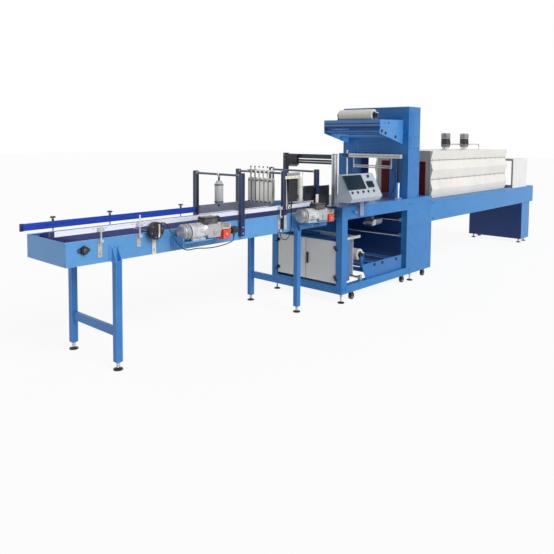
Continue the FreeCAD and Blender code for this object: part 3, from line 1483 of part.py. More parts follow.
def outlet():
    """The cooling hood over the outfeed end of the belt."""
    half = half_frame
    inner_half = half - outlet_skin
    outer = box_to(outlet_start, outlet_end, -half, half, base_top, outlet_top)
    inner = box_to(outlet_start - 1, outlet_end + 1, -inner_half, inner_half, base_top - 1,
                   outlet_top - outlet_skin)
    node("outlet_hood", cut(outer, inner))


def end_support():
    """The cabinet leg under the outfeed end."""
    half = half_frame - support_in
    end = tunnel_end - support_back
    node("end_support", box_to(end - support_len, end, -half, half, support_low, base_low))


def caster(x, side):
    """A caster: plate, swivel, two cheeks, and a wheel on its axle."""
    y = side * (half_frame - caster_in)
    axle_z = wheel_dia / 2 + wheel_lift
    plate = box_to(x - 38, x + 38, y - 32, y + 32, frame_low - caster_plate, frame_low)
    fork_top = frame_low - caster_plate - 8
    swivel = rod("z", x, y, fork_top, 44, 8)
    gap = wheel_wide / 2 + 2
    outer = gap + 3
    cheeks = [box_to(x - 4, x + 34, y - outer if at < 0 else y + gap, y - gap if at < 0 else y + outer,
                     axle_z - 9, fork_top) for at in (-1, 1)]
    bridge = box_to(x - 16, x + 34, y - outer, y + outer, fork_top - 3, fork_top)
    axle_x = x + caster_trail
    wheel = rod("y", axle_x, y - wheel_wide / 2, axle_z, wheel_dia, wheel_wide)
    axle = rod("y", axle_x, y - gap, axle_z, 8, 2 * gap)
    return fuse([plate, swivel, bridge, axle, wheel] + cheeks)


def casters():
    """Six casters under the wrapping frame, held clear of the floor by the levelling feet."""
    spots = (open_x0 + 123, open_x1 - 47, frame_x1 - 148)
    node("casters", group([caster(x, side) for x in spots for side in (-1, 1)]))


def pusher_portal():
    """Two upright profiles on the deck with three cross bars and the pusher's valve block."""
    x = frame_x0 + pusher_at
    half = pusher_post / 2
    out = half_conv + pusher_gap
    top = frame_top + pusher_up
    parts = []
    for side in (-1, 1):
        y0 = side * out - half
        parts.append(box_to(x - half, x + half, y0, y0 + pusher_post, frame_top, top))
    reach = out - half
    for low, high in ((50, 5), (80, 60), (105, 85)):
        parts.append(box_to(x - half + 5, x + half - 5, -reach, reach, top - low, top - high))
    y, z = pusher_block_start, top - 12 - pusher_block_high
    front = x - half + 5
    parts.append(box_to(front - pusher_block_deep, front, y, y + pusher_block_wide, z,
                        z + pusher_block_high))
    node("pusher_portal", fuse(parts))


def sensor_cable():
    """The sensor head's cord, which hangs in front of the first motor's shelf."""
    x, y, z = drum_unit_at + sensor_out, -half_conv - drum_unit_gap - drum_unit_deep / 2 - 3, conv_top
    rise = drum_unit_up + gland_rise
    start = [(x, y, z + rise), (x + 36, y, z + rise), (x + 58, y - 10, z + 18),
             (x + 72, y - 46, z - 52), (x + 92, y - 120, z - 125)]
    x, y = motor_one, -half_conv
    hang = [(x + 14, y - 183, z - 143), (x + 111, y - 171, z - 139), (x + 216, y - 161, z - 155),
            (x + 321, y - 149, z - 161), (x + 421, y - 140, z - 157)]
    switch_start = motor_one + cowl_len + body_len + flange_len + gear_len
    end_x = switch_start + switch_len + actuator_neck + actuator_len / 2
    end_y = -half_conv - switch_out * 0.78
    end_z = motor_mid - actuator_drop + switch_lift - actuator_dia / 2 - 18
    end = [(end_x - 43, end_y, end_z - 55), (end_x, end_y, end_z - 40), (end_x, end_y, end_z)]
    node("sensor_cable", tube("sensor_cable", start + hang + end, cord_dia))


def lane_cable():
    """The cord that hangs in a loop beside the second portal."""
    x, y, z = portal_two + portal_post / 2 + 101, -half_conv - 13, conv_top
    top = z + guard_one_up - gland_len
    end_x = portal_two - clamp_three_back + 6
    route = [(x, y, top), (x, y, top - 90), (x - 4, y - 4, top - 190), (x - 19, y - 6, top - 275),
             (x - 66, y - 6, top - 332), (x - 126, y - 5, top - 328), (end_x, y - 3, z - 195),
             (end_x, y - 3, z - 157)]
    node("lane_cable", tube("lane_cable", route, cord_dia))


def cheek_cable():
    """The cord in front of the near gate cheek, from the deck up to its clip."""
    x = gantry_start - cheek_thick - thin_cord_dia / 2 - 0.2
    y, z = cheek_cord_y, frame_top
    route = [(x, y, z + cheek_gland), (x, y, z + 47), (x, y - 39, z + 92), (x, y - 64, z + 162),
             (x, y - 64, z + 247), (x, y - 41, z + 313), (x, y + 6, z + 349), (x, y + 6, gate_top - 94)]
    node("cheek_cable", tube("cheek_cable", route, thin_cord_dia))


conveyor_frame()
conveyor_belt()
flange_bearings()
leg_pair("leg_pair_1", leg_one)
leg_pair("leg_pair_2", leg_two)
feet()
guide_rails()
rail_clamps()
drum_unit()
gear_end = cowl_len + body_len + flange_len + gear_len
gearmotor("gearmotor_1", motor_one, motor_one - 12, motor_one + 262, 34)
gearmotor("gearmotor_2", motor_two, leg_two + 56, portal_three - 26, 0)
switch_box("switch_box_1", motor_one + gear_end, -half_conv, True)
switch_box("switch_box_2", motor_two + gear_end, -half_conv - portal_shim - portal_post, False)
lane_portal("lane_portal_1", portal_one, hung_cylinder())
lane_portal("lane_portal_2", portal_two, post_bracket())
lane_portal("lane_portal_3", portal_three, post_block())
lane_stops()
side_guards()
pusher_portal()
wrapper_frame()
electrical_cabinet()
gantry()
seal_unit()
film_roll("film_roll_upper", upper_roll_x, upper_roll_mid - film_wide / 2, upper_roll_z)
film_roll("film_roll_lower", lower_roll_x, lower_roll_mid - film_wide / 2, lower_roll_z)
upper_cradle()
lower_cradle()
film_path()
control_panel()
tunnel_base()
tunnel_hood()
fan_motors()
outlet()
end_support()
casters()
sensor_cable()
lane_cable()
cheek_cable()

doc.recompute()

for item in doc.Objects:
    if "Invalid" in item.State or "Error" in item.State:
        raise RuntimeError("%s did not build: %s" % (item.Name, item.State))
for item in NODES:
    if item.Shape.isNull() or not item.Shape.isValid():
        raise RuntimeError("%s has no valid shape" % item.Label)
for item in NODES:
    item.Shape.exportStep("parts/%s.step" % item.Label)
print(len(NODES), "sub-parts written")
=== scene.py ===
"""Looks for a straight line film packaging machine: infeed conveyor, lane section, wrapping
frame with its sealing gantry, operator's console and shrink tunnel."""

import bpy
import numpy as np
from mathutils import Matrix, Vector


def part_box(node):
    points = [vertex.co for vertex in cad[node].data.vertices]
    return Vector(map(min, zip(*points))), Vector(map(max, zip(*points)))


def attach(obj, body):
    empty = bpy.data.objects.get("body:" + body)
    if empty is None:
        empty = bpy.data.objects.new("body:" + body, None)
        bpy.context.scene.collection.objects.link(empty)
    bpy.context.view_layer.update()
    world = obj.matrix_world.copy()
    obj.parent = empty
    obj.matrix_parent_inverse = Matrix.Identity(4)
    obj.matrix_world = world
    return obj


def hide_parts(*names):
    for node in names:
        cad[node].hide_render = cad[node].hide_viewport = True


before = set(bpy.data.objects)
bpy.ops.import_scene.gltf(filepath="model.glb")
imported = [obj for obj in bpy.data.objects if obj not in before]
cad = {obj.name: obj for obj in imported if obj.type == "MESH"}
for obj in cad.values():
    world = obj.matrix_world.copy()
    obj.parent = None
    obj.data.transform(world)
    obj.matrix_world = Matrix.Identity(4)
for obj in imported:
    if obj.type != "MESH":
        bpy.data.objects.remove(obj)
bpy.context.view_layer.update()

# Camera. The line is seen from the operator's side at the infeed end, a little above the belt,
# with the lens shifted so that its uprights stay upright.
picture, focal, horizon = 554.0, 593.5, 178.55
eye = Vector((-6.0192, -3.8604, 1.6556))
heading, dip, lean = 0.7365, 0.0654, 0.0074
ahead = Vector((np.cos(heading) * np.cos(dip), np.sin(heading) * np.cos(dip), -np.sin(dip)))
level = Vector((np.sin(heading), -np.cos(heading), 0.0))
upright = level.cross(ahead)
side_axis = np.cos(lean) * level + np.sin(lean) * upright
top_axis = -np.sin(lean) * level + np.cos(lean) * upright
lens = bpy.data.cameras.new("eye")
lens.sensor_width, lens.lens = 36.0, 36.0 * focal / picture
lens.shift_y = (horizon - picture / 2) / picture
lens.clip_start, lens.clip_end = 0.05, 300.0
camera = bpy.data.objects.new("camera", lens)
camera.matrix_world = Matrix.Translation(eye) @ Matrix((side_axis, top_axis, -ahead)).transposed().to_4x4()
bpy.context.scene.collection.objects.link(camera)
bpy.context.scene.camera = camera

# Cords: three black rubber flexes, 8 and 6 mm thick, from the sensor head to the first switch,
# beside the second portal, and up the gate cheek, each held by a moulded gland at both ends.
line_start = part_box("conveyor_frame")[0].x
line_middle = sum(corner.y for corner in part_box("conveyor_frame")) / 2


def on_line(points):
    """Millimetres from the end plate, the belt's centre line and the floor, as metres in the frame."""
    return np.asarray(points, float) / 1000.0 + (line_start, line_middle, 0.0)


def joined_by(operation):
    """A method that adds one Math node for two values."""
    return lambda self, other: self.math(operation, self, other)


class Value:
    """One socket in the making of a finish. Arithmetic on it, from either side, adds Math nodes."""

    def __init__(self, finish, socket):
        self.finish, self.socket = finish, socket

    def math(self, operation, *terms):
        return self.finish.add("ShaderNodeMath", {"operation": operation}, dict(enumerate(terms)))

    __add__ = __radd__ = joined_by("ADD")
    __mul__ = __rmul__ = joined_by("MULTIPLY")
    __sub__, __gt__, __lt__ = joined_by("SUBTRACT"), joined_by("GREATER_THAN"), joined_by("LESS_THAN")
    __or__ = joined_by("MAXIMUM")

    def __rsub__(self, other):
        return self.math("SUBTRACT", other, self)

    def __abs__(self):
        return self.math("ABSOLUTE", self)

    def sine(self):
        return self.math("SINE", self)

    def within(self, low, high):
        """0 below low, 1 above high, and a straight ramp between."""
        return self.finish.add("ShaderNodeMapRange", {"clamp": True}, {0: self, 1: low, 2: high})


class Finish:
    """A material and the nodes that feed its shader."""

    def __init__(self, name):
        self.made = bpy.data.materials.new(name)
        self.made.use_nodes = True
        self.tree = self.made.node_tree
        self.shader = self.tree.nodes["Principled BSDF"]
        self.place = self.add("ShaderNodeTexCoord", output="Object")

    def add(self, kind, settings=None, values=None, output=0):
        """Add any node: its settings first, then the values or links of its sockets."""
        node = self.tree.nodes.new(kind)
        for key, value in (settings or {}).items():
            setattr(node, key, value)
        for key, value in (values or {}).items():
            self.feed(node.inputs[key], value)
        return Value(self, node.outputs[output])

    def feed(self, socket, value):
        """Link a value to a socket, or set the socket to a number or a screen colour."""
        if isinstance(value, Value):
            self.tree.links.new(value.socket, socket)
        elif isinstance(value, tuple) and len(value) == 3 and socket.type == "RGBA":
            socket.default_value = shade(*value)
        else:
            socket.default_value = value

    def wear(self, **values):
        """Feed the shader's own sockets, with underscores for the spaces in their names."""
        for key, value in values.items():
            self.feed(self.shader.inputs[key.replace("_", " ")], value)
        return self.made

    def part(self, letter):
        """One coordinate of the place."""
        return self.add("ShaderNodeSeparateXYZ", None, {0: self.place}, "XYZ".index(letter))

    def past(self, letter, distance):
        """1 past a distance in millimetres along the line's X, Y or Z, and 0 before it."""
        return self.part(letter) > float(on_line((distance,) * 3)["XYZ".index(letter)])

    def before(self, letter, distance):
        """0 past a distance in millimetres, and 1 before it."""
        return 1.0 - self.past(letter, distance)

    def span(self, letter, low, high):
        """1 between two distances in millimetres, and 0 elsewhere."""
        return self.past(letter, low) - self.past(letter, high)

    def off_middle(self):
        """The distance in metres from the plane up the line's middle."""
        return abs(self.part("Y") - line_middle)

    def from_axis(self, letters, first, second):
        """The distance in metres from a line through a point, across the two letters given."""
        given = dict(zip(letters, (first, second)))
        spot = dict(zip("XYZ", on_line([given.get(letter, 0.0) for letter in "XYZ"])))
        one, two = (self.part(letter) - float(spot[letter]) for letter in letters)
        return one.math("SQRT", one * one + two * two)

    def noise(self, scale, detail=2.0, roughness=0.5, stretch=(1.0, 1.0, 1.0)):
        """Noise of so many grains a metre, drawn out where the stretch is small."""
        vector = self.add("ShaderNodeVectorMath", {"operation": "MULTIPLY"}, {0: self.place, 1: stretch})
        return self.add("ShaderNodeTexNoise", {"noise_dimensions": "3D"},
                        {"Vector": vector, "Scale": scale, "Detail": detail, "Roughness": roughness})

    def blend(self, share, first, second):
        """A colour between two others."""
        return self.add("ShaderNodeMix", {"data_type": "RGBA"}, {0: share, 6: first, 7: second}, 2)

    def zoned(self, colour, *zones):
        """A colour with others laid over it, each where its own value is 1."""
        for share, other in zones:
            colour = self.blend(share, colour, other)
        return colour

    def bump(self, height, strength, distance):
        """The normal of a surface raised by a height."""
        values = {"Strength": strength, "Distance": distance, "Height": height}
        return self.add("ShaderNodeBump", None, values)


def shade(red, green, blue, share=1.0):
    """A screen colour from 0 to 255 as a share of the linear light that a shader takes."""
    c = np.array((red, green, blue)) / 255.0
    light = np.where(c <= 0.04045, c / 12.92, ((c + 0.055) / 1.055) ** 2.4)
    return (*(share * float(x) for x in light), 1.0)


def moulded(name, colour, dusty, gloss=0.42, share=0.35, **constants):
    """Moulded plastic or rubber: a fine grain in the bump, and dust that pales and dulls it."""
    f = Finish(name)
    dust = f.noise(16.0, 5.0, 0.6).within(0.45, 0.8)
    return f.wear(Base_Color=f.blend(dust * share, colour, dusty), Roughness=gloss + 0.2 * dust,
                  Normal=f.bump(f.noise(500.0), 0.12, 0.0004), **constants)


class Shape:
    """Corner points in millimetres on the line, and the faces over them: one row of corner
    numbers, and how many of them each face takes."""

    def __init__(self, points, corners, counts):
        self.points = np.asarray(points, float)
        self.corners, self.counts = np.asarray(corners), np.asarray(counts)

    def __add__(self, other):
        return Shape(np.vstack([self.points, other.points]),
                     np.concatenate([self.corners, other.corners + len(self.points)]),
                     np.concatenate([self.counts, other.counts]))

    def __radd__(self, nothing):
        """The start of a sum of shapes."""
        return self

    def at(self, places):
        """The same shape at each of several places."""
        places = np.atleast_2d(np.asarray(places, float))
        return Shape((places[:, None] + self.points).reshape(-1, 3),
                     (np.arange(len(places))[:, None] * len(self.points) + self.corners).ravel(),
                     np.tile(self.counts, len(places)))

    def on(self, corner, directions):
        """The shape with its own X, Y and Z laid along three directions from a corner."""
        return Shape(np.asarray(corner) + self.points @ np.asarray(directions), self.corners, self.counts)


def skin(rings, joined=False):
    """Faces over rows of points: corner j of a row joins corner j + 1 and the next row, and each
    row closes on itself. Joined rows close too, and otherwise flat faces close both ends."""
    rows, across = rings.shape[:2]
    number = np.arange(rows * across).reshape(rows, across)
    beside = np.roll(number, -1, axis=1)
    if joined:
        grid = number, beside, np.roll(beside, -1, axis=0), np.roll(number, -1, axis=0)
    else:
        grid = number[:-1], beside[:-1], beside[1:], number[1:]
    quads = np.stack(grid, axis=-1).reshape(-1, 4)
    if joined:
        return Shape(rings.reshape(-1, 3), quads.ravel(), np.full(len(quads), 4))
    return Shape(rings.reshape(-1, 3), np.concatenate([quads.ravel(), number[0, ::-1], number[-1]]),
                 np.append(np.full(len(quads), 4), (across, across)))


def grid(xs, ys, zs):
    """Every place that has one of each of the given coordinates, as rows of X, Y and Z."""
    return np.stack(np.meshgrid(xs, ys, zs, indexing="ij"), axis=-1).reshape(-1, 3).astype(float)


def basis(towards):
    """Three unit directions at right angles, the last of them the one given."""
    w = np.asarray(towards, float) / np.linalg.norm(towards)
    u = np.cross((0.0, 0.0, 1.0) if abs(w[2]) < 0.9 else (1.0, 0.0, 0.0), w)
    u /= np.linalg.norm(u)
    return u, np.cross(w, u), w


def turned(profile, at=(0, 0, 0), towards=(0, 0, 1), around=24, lobes=0, depth=0.0):
    """A profile of (distance, radius) turned about a line: each ring is a circle of that radius at
    that distance, and lobes make it wavy by the cosine of so many times the angle."""
    along, radius = np.array(profile, float).T
    angle = np.arange(around) * 2 * np.pi / around
    wave = radius[:, None] * (1 + depth * np.cos(lobes * angle))
    u, v, w = basis(towards)
    ring = np.cos(angle)[:, None] * u + np.sin(angle)[:, None] * v
    return skin(np.asarray(at) + along[:, None, None] * w + wave[..., None] * ring)


def put(name, shape, finish, body="base", sharp=35.0):
    """Make one piece of a shape, smooth but for its sharp edges, and let it ride on a body."""
    mesh = bpy.data.meshes.new(name)
    mesh.vertices.add(len(shape.points))
    mesh.vertices.foreach_set("co", on_line(shape.points).ravel())
    mesh.loops.add(len(shape.corners))
    mesh.loops.foreach_set("vertex_index", shape.corners.astype(np.int32))
    mesh.polygons.add(len(shape.counts))
    mesh.polygons.foreach_set("loop_start", (np.cumsum(shape.counts) - shape.counts).astype(np.int32))
    mesh.update(calc_edges=True)
    mesh.validate()
    mesh.shade_smooth()
    mesh.set_sharp_from_angle(angle=np.radians(sharp))
    mesh.materials.append(finish)
    piece = bpy.data.objects.new(name, mesh)
    bpy.context.scene.collection.objects.link(piece)
    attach(piece, body)
    return piece


def flex(node, route, wide, finish):
    """A cord along a smooth NURBS line whose control points are the route."""
    curve = bpy.data.curves.new(node + "_line", "CURVE")
    curve.dimensions, curve.resolution_u, curve.use_fill_caps = "3D", 10, True
    curve.bevel_depth, curve.bevel_resolution = wide / 2000.0, 3
    spline = curve.splines.new("NURBS")
    spline.points.add(len(route) - 1)
    spline.points.foreach_set("co", np.column_stack([on_line(route), np.ones(len(route))]).ravel())
    spline.order_u, spline.use_endpoint_u = 3, True
    curve.materials.append(finish)
    cord = bpy.data.objects.new(node + "_flex", curve)
    bpy.context.scene.collection.objects.link(cord)
    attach(cord, "base")
    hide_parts(node)


def glands(scale, places):
    """Ridged moulded sleeves that taper on to a cord, at places given with their directions."""
    profile = np.array([(-7, 6.9), (0, 6.9), (2, 6.2), (5, 6.4), (6, 5.6), (9, 5.9), (10, 5.2), (13, 5.5),
                        (14, 4.9), (17, 5.2), (18, 4.6), (22, 4.8), (24, 4.25)]) * scale
    return sum(turned(profile, at, towards, 16) for at, towards in places)


near, far, up, down = (0, -1, 0), (0, 1, 0), (0, 0, 1), (0, 0, -1)
infeed, outfeed = (-1, 0, 0), (1, 0, 0)
cord_rubber = moulded("cord_rubber", (18, 18, 21), (60, 60, 66), 0.38)
sensor_route = [(754, -326, 1022), (790, -326, 1022), (812, -336, 975), (826, -372, 905), (846, -446, 832),
                (888, -464, 814), (985, -452, 818), (1090, -442, 802), (1195, -430, 796), (1295, -421, 800),
                (1365, -420.6, 811), (1408, -420.6, 826), (1408, -420.6, 866)]
lane_route = [(2281, -294, 1050), (2281, -294, 960), (2277, -298, 860), (2262, -300, 775), (2215, -300, 718),
              (2155, -299, 722), (2120, -297, 762), (2120, -297, 800)]
cheek_route = [(4080.8, -271, 997), (4080.8, -271, 1030), (4080.8, -310, 1075), (4080.8, -335, 1145),
               (4080.8, -335, 1230), (4080.8, -312, 1296), (4080.8, -265, 1332), (4080.8, -265, 1356)]
flex("sensor_cable", sensor_route, 8, cord_rubber)
flex("lane_cable", lane_route, 8, cord_rubber)
flex("cheek_cable", cheek_route, 6, cord_rubber)
wide_glands = [((752, -326, 1022), outfeed), ((1408, -420.6, 868), down), ((2281, -294, 1052), down),
               ((2120, -297, 798), down)]
slim_glands = [((4080.8, -271, 996), up), ((4080.8, -265, 1358), down)]
put("cord_glands", glands(1.0, wide_glands) + glands(0.74, slim_glands), cord_rubber)

# Studio: a white floor that takes the machine's shadow, a soft sun from the operator's side that
# leaves the end faces darker, a faint one from the far side, and an even pale surround.
floor_finish = Finish("studio_floor")
floor_finish.wear(Base_Color=(250, 250, 250), Roughness=0.9)
camera_ray, glossy_ray, clear_ray = (floor_finish.add("ShaderNodeLightPath", output=name)
                                     for name in ("Is Camera Ray", "Is Glossy Ray", "Is Transmission Ray"))
white = floor_finish.add("ShaderNodeEmission", None, {"Color": (255, 255, 255), "Strength": 1.0})
seen = (camera_ray | glossy_ray | clear_ray) * 0.9
mixed = floor_finish.add("ShaderNodeMixShader", None, {0: seen, 2: white})
floor_finish.tree.links.new(floor_finish.shader.outputs[0], mixed.socket.node.inputs[1])
floor_finish.tree.links.new(mixed.socket, floor_finish.tree.nodes["Material Output"].inputs[0])
reach = 60
floor_mesh = bpy.data.meshes.new("floor")
floor_mesh.from_pydata([(-reach, -reach, 0), (reach, -reach, 0), (reach, reach, 0), (-reach, reach, 0)], [],
                       [(0, 1, 2, 3)])
floor_mesh.materials.append(floor_finish.made)
floor = bpy.data.objects.new("floor", floor_mesh)
bpy.context.scene.collection.objects.link(floor)
bpy.context.scene.view_settings.view_transform = "Standard"
world = bpy.data.worlds.new("surround")
bpy.context.scene.world = world
world.use_nodes = True
nodes, links = world.node_tree.nodes, world.node_tree.links
pale = nodes["Background"]
pale.inputs[0].default_value, pale.inputs[1].default_value = (0.92, 0.95, 1.0, 1.0), 0.27
bright, rays, choice = (nodes.new("ShaderNode" + kind) for kind in ("Background", "LightPath", "MixShader"))
bright.inputs[0].default_value = (1.0, 1.0, 1.0, 1.0)
either, any_ray = nodes.new("ShaderNodeMath"), nodes.new("ShaderNodeMath")
either.operation = any_ray.operation = "MAXIMUM"
for giver, taker in ((rays.outputs["Is Camera Ray"], either.inputs[0]),
                     (rays.outputs["Is Glossy Ray"], either.inputs[1]),
                     (either.outputs[0], any_ray.inputs[0]),
                     (rays.outputs["Is Transmission Ray"], any_ray.inputs[1]),
                     (any_ray.outputs[0], choice.inputs[0]), (pale.outputs[0], choice.inputs[1]),
                     (bright.outputs[0], choice.inputs[2]),
                     (choice.outputs[0], nodes["World Output"].inputs[0])):
    links.new(giver, taker)
for name, strength, spread, towards in (("key", 2.35, 40.0, (0.06, 0.82, -0.57)),
                                        ("rim", 0.35, 60.0, (0.5, -0.7, -0.5))):
    lamp = bpy.data.lights.new(name, "SUN")
    lamp.energy, lamp.angle = strength, np.radians(spread)
    sun = bpy.data.objects.new(name, lamp)
    sun.rotation_mode = "QUATERNION"
    sun.rotation_quaternion = Vector(towards).to_track_quat("-Z", "Y")
    bpy.context.scene.collection.objects.link(sun)

# Infeed conveyor's frame: two lipped side plates and an end plate folded from 5 mm sheet,
# bolted to cross bars and powder coated blue. The edges are eased, and rubbed a little paler.
side_plate, shelf_face = 281, 287


def powder_coat(name, colour, rubbed, gloss=0.36, zone=None, inner=None):
    """Powder coat: the colour drifts a little over half a metre, an orange peel lies in the bump,
    and dust dulls it in patches. The second finish is for rubbed edges. A zone is a function that
    gives 1 where its inner colour goes instead: painted shade in a gap or an inside, or a second paint."""
    made = []
    for label, main, other in ((name, colour, shade(*colour, 0.86)), (name + "_edge", rubbed, colour)):
        f = Finish(label)
        patches = f.noise(11.0, 5.0, 0.65).within(0.35, 0.7)
        tint = f.blend(f.noise(1.7, 4.0, 0.6).within(0.3, 0.75), main, other)
        tint = f.blend(patches * 0.07, tint, (176, 186, 200))
        if zone:
            tint = f.blend(zone(f), tint, inner)
        made.append(f.wear(Base_Color=tint, Roughness=gloss + 0.1 * patches, Specular_IOR_Level=0.35,
                           Coat_Weight=0.12, Coat_Roughness=0.25, Normal=f.bump(f.noise(420.0), 0.1, 0.0006)))
    return made


def dress(names, finish, edge=0.0, segments=2, flatten=True):
    """Give CAD nodes a finish. With an edge, coplanar triangles are joined, unless a face has a
    window, and every sharp edge is rounded by that radius in the finish for rubbed edges."""
    for name in [names] if isinstance(names, str) else names:
        shown = cad[name]
        shown.data.materials.clear()
        for one in finish if isinstance(finish, list) else [finish]:
            shown.data.materials.append(one)
        if edge:
            shown.modifiers.new("joined", "WELD").merge_threshold = 0.00002
            if flatten:
                flat = shown.modifiers.new("faces", "DECIMATE")
                flat.decimate_type, flat.angle_limit = "DISSOLVE", np.radians(0.5)
            eased = shown.modifiers.new("eased", "BEVEL")
            eased.width, eased.segments, eased.limit_method = edge, segments, "ANGLE"
            eased.angle_limit, eased.use_clamp_overlap = np.radians(40), True
            eased.miter_outer, eased.harden_normals = "MITER_ARC", True
            eased.material = 1 if isinstance(finish, list) else -1


def metal(name, colour, rough, brushed=(1.0, 1.0, 1.0), stain=None, metallic=1.0):
    """Bare or plated metal: fine lines along the way it was brushed or turned, and dull spots."""
    f = Finish(name)
    lines = f.noise(260.0, 3.0, 0.6, brushed)
    spots = f.noise(14.0, 5.0, 0.6).within(0.45, 0.75)
    return f.wear(Base_Color=f.blend(spots * 0.5, colour, stain or shade(*colour, 0.7)),
                  Metallic=metallic, Roughness=rough + 0.16 * spots + 0.1 * lines,
                  Normal=f.bump(lines, 0.08, 0.0004))


def bolts(places, towards, size):
    """Hexagon heads on washers: six sided rings drawn in at the top, over a thin round ring."""
    head = turned([(0, size), (0.7 * size, size), (0.85 * size, 0.86 * size)], towards=towards, around=6)
    washer = turned([(0, 1.35 * size), (0.16 * size, 1.35 * size), (0.2 * size, 1.25 * size)],
                    towards=towards, around=16)
    return (head + washer).at(places)


def screws(places, towards, size=5.0):
    """Round socket heads: rings out to the rim, over it, and down into the socket."""
    profile = [(-0.5, 1.0), (0.5, 1.0), (0.75, 0.82), (0.78, 0.45), (0.3, 0.42)]
    return turned(np.array(profile) * size, towards=towards, around=12).at(places)


def both_sides(make, places, size):
    """The same heads on the far side, at the places given, and mirrored on the near side."""
    return sum(make(np.asarray(places) * (1, side, 1), (0, side, 0), size) for side in (-1, 1))


def hardware(name, shape, body="base", sharp=35.0):
    """Small zinc plated parts as one piece."""
    put(name, shape, zinc, body, sharp)


blue_paint = powder_coat("blue_paint", (88, 154, 213), (128, 184, 228))
zinc = metal("zinc_plate", (190, 194, 198), 0.34)
steel = metal("turned_steel", (196, 199, 204), 0.26, (1.0, 0.05, 1.0))
dress(["conveyor_frame", "motor_bracket_1", "motor_bracket_2"], blue_paint, 0.0015)
put("side_plate_bolts", both_sides(bolts, grid((1080, 1821, 2534), side_plate, 799), 7)
    + screws(grid(0, (-262, 262), (806, 938)), infeed, 5.5), blue_paint[0])
put("shelf_bolts", bolts(grid((880, 1118, 2424, 2601), -shelf_face, (846, 902)), near, 6),
    blue_paint[0])

# The belts: dark blue flat belting with a cloth weave, laced into one loop with steel hooks, on
# turned steel drums. The tunnel's belt is the same cloth with a heat proof facing.
belt = Finish("belt_cloth")
warp, weft = (belt.add("ShaderNodeTexWave", {"wave_type": "BANDS", "bands_direction": way},
                       {"Vector": belt.place, "Scale": 150.0, "Distortion": 0.4}) for way in "XY")
scuffs = belt.noise(3.0, 6.0, 0.6, (0.6, 9.0, 9.0))
pale_scuffs = scuffs.within(0.4, 0.75) * 0.5
belt = belt.wear(Base_Color=belt.blend(pale_scuffs, (20, 36, 104), (48, 66, 134)),
                 Roughness=0.55 + 0.25 * scuffs, Specular_IOR_Level=0.2,
                 Normal=belt.bump(warp * 0.5 + weft * 0.5, 0.25, 0.0008))
dress(["conveyor_belt", "tunnel_belt"], belt)
dress("conveyor_drums", steel)


def outline(wide, high, corner):
    """A rounded rectangle's four corner centres, and the directions of the points round each:
    a point is its centre plus the corner's radius along its direction."""
    turn = np.arange(4)[:, None] * np.pi / 2 + np.linspace(0, np.pi / 2, 4)
    centre = np.array(((1, 1), (-1, 1), (-1, -1), (1, -1))) * (wide / 2 - corner, high / 2 - corner)
    ray = np.stack([np.cos(turn).ravel(), np.sin(turn).ravel()], axis=1)
    return np.repeat(centre, 4, axis=0), ray


def block(low, high, ease, corner=0.0, along="z"):
    """A block with eased edges: a rounded rectangle carried from end to end, and drawn in at both
    ends along a quarter circle."""
    order = {"x": [1, 2, 0], "y": [2, 0, 1], "z": [0, 1, 2]}[along]
    low, high = np.array(low, float)[order], np.array(high, float)[order]
    corner = max(corner, 1.3 * ease)
    centre, ray = outline(high[0] - low[0], high[1] - low[1], corner)
    turn = np.linspace(0, np.pi / 2, 3)
    inset, rise = ease * (1 - np.sin(turn)), ease * (1 - np.cos(turn))
    inset, height = np.append(inset, inset[::-1]), np.append(low[2] + rise, high[2] - rise[::-1])
    flat = centre + (corner - inset)[:, None, None] * ray + (low[:2] + high[:2]) / 2
    rings = np.empty((len(height), len(ray), 3))
    rings[..., order[:2]], rings[..., order[2]] = flat, height[:, None]
    return skin(rings)


hook = block((694, -0.9, 958.2), (706, 0.9, 960), 0.5)
hardware("belt_lacing", hook.at(grid(0, np.arange(-240, 241, 6), 0)))

# Flange bearings: black cast iron two bolt housings at both drums' shafts, with a steel collar
# and a grease nipple on each.
cast_iron = metal("black_iron", (24, 26, 31), 0.42, stain=(58, 60, 66), metallic=0.2)
bearing_steel = metal("bearing_steel", (96, 98, 104), 0.36)
dress("flange_bearings", cast_iron, 0.0008)
drum_x, drum_z = (128, 2723), 893
nipple = turned([(0, 4), (6, 4), (8, 2.5), (11, 3.2), (13, 1.5)])
for side, name in ((-1, "near"), (1, "far")):
    collar = turned([(-2, 15), (3, 15), (4, 13.5), (4, 5), (1, 4)], towards=(0, side, 0))
    put("bearing_hardware_" + name,
        bolts([(x + dx, side * 293, drum_z) for x in drum_x for dx in (-38, 38)], (0, side, 0), 7.5)
        + collar.at(grid(drum_x, side * 308, drum_z))
        + nipple.at(grid(drum_x, side * 300, drum_z + 25)), bearing_steel)

# Leg pairs: square tube legs in a deeper blue under gusseted saddles, which are bolted to the
# side plates, and joined by a flat brace.
leg_x = (371, 2350)
leg_paint = powder_coat("leg_paint", (36, 120, 194), (96, 164, 218),
                        zone=lambda f: f.past("Z", 786), inner=(84, 150, 210))
dress(["leg_pair_1", "leg_pair_2"], leg_paint, 0.0025)
saddle_spots = [(x + dx, 286, z) for x in leg_x
                for dx, z in ((-37, 812), (37, 812), (-37, 888), (37, 888), (0, 890))]
put("saddle_bolts", both_sides(bolts, saddle_spots, 6.5), leg_paint[0])

# Levelling feet and casters: black moulded pads on threaded, zinc plated stems with a nut under
# each leg, and black wheels in black forks with zinc plated hubs, parked 3 mm above the floor.
black_plastic = moulded("black_moulding", (19, 20, 24), (70, 72, 78))
foot = Finish("foot_pad")
stem = foot.past("Z", 16.2)
dust = foot.noise(16.0, 5.0, 0.6).within(0.45, 0.8)
pad = foot.blend(dust * 0.3, (22, 23, 27), (72, 74, 80))
foot = foot.wear(Base_Color=foot.blend(stem, pad, (180, 184, 188)), Metallic=stem * 0.9,
                 Roughness=0.42 + 0.2 * dust)
dress("levelling_feet", foot)
dress("casters", black_plastic, 0.0008)


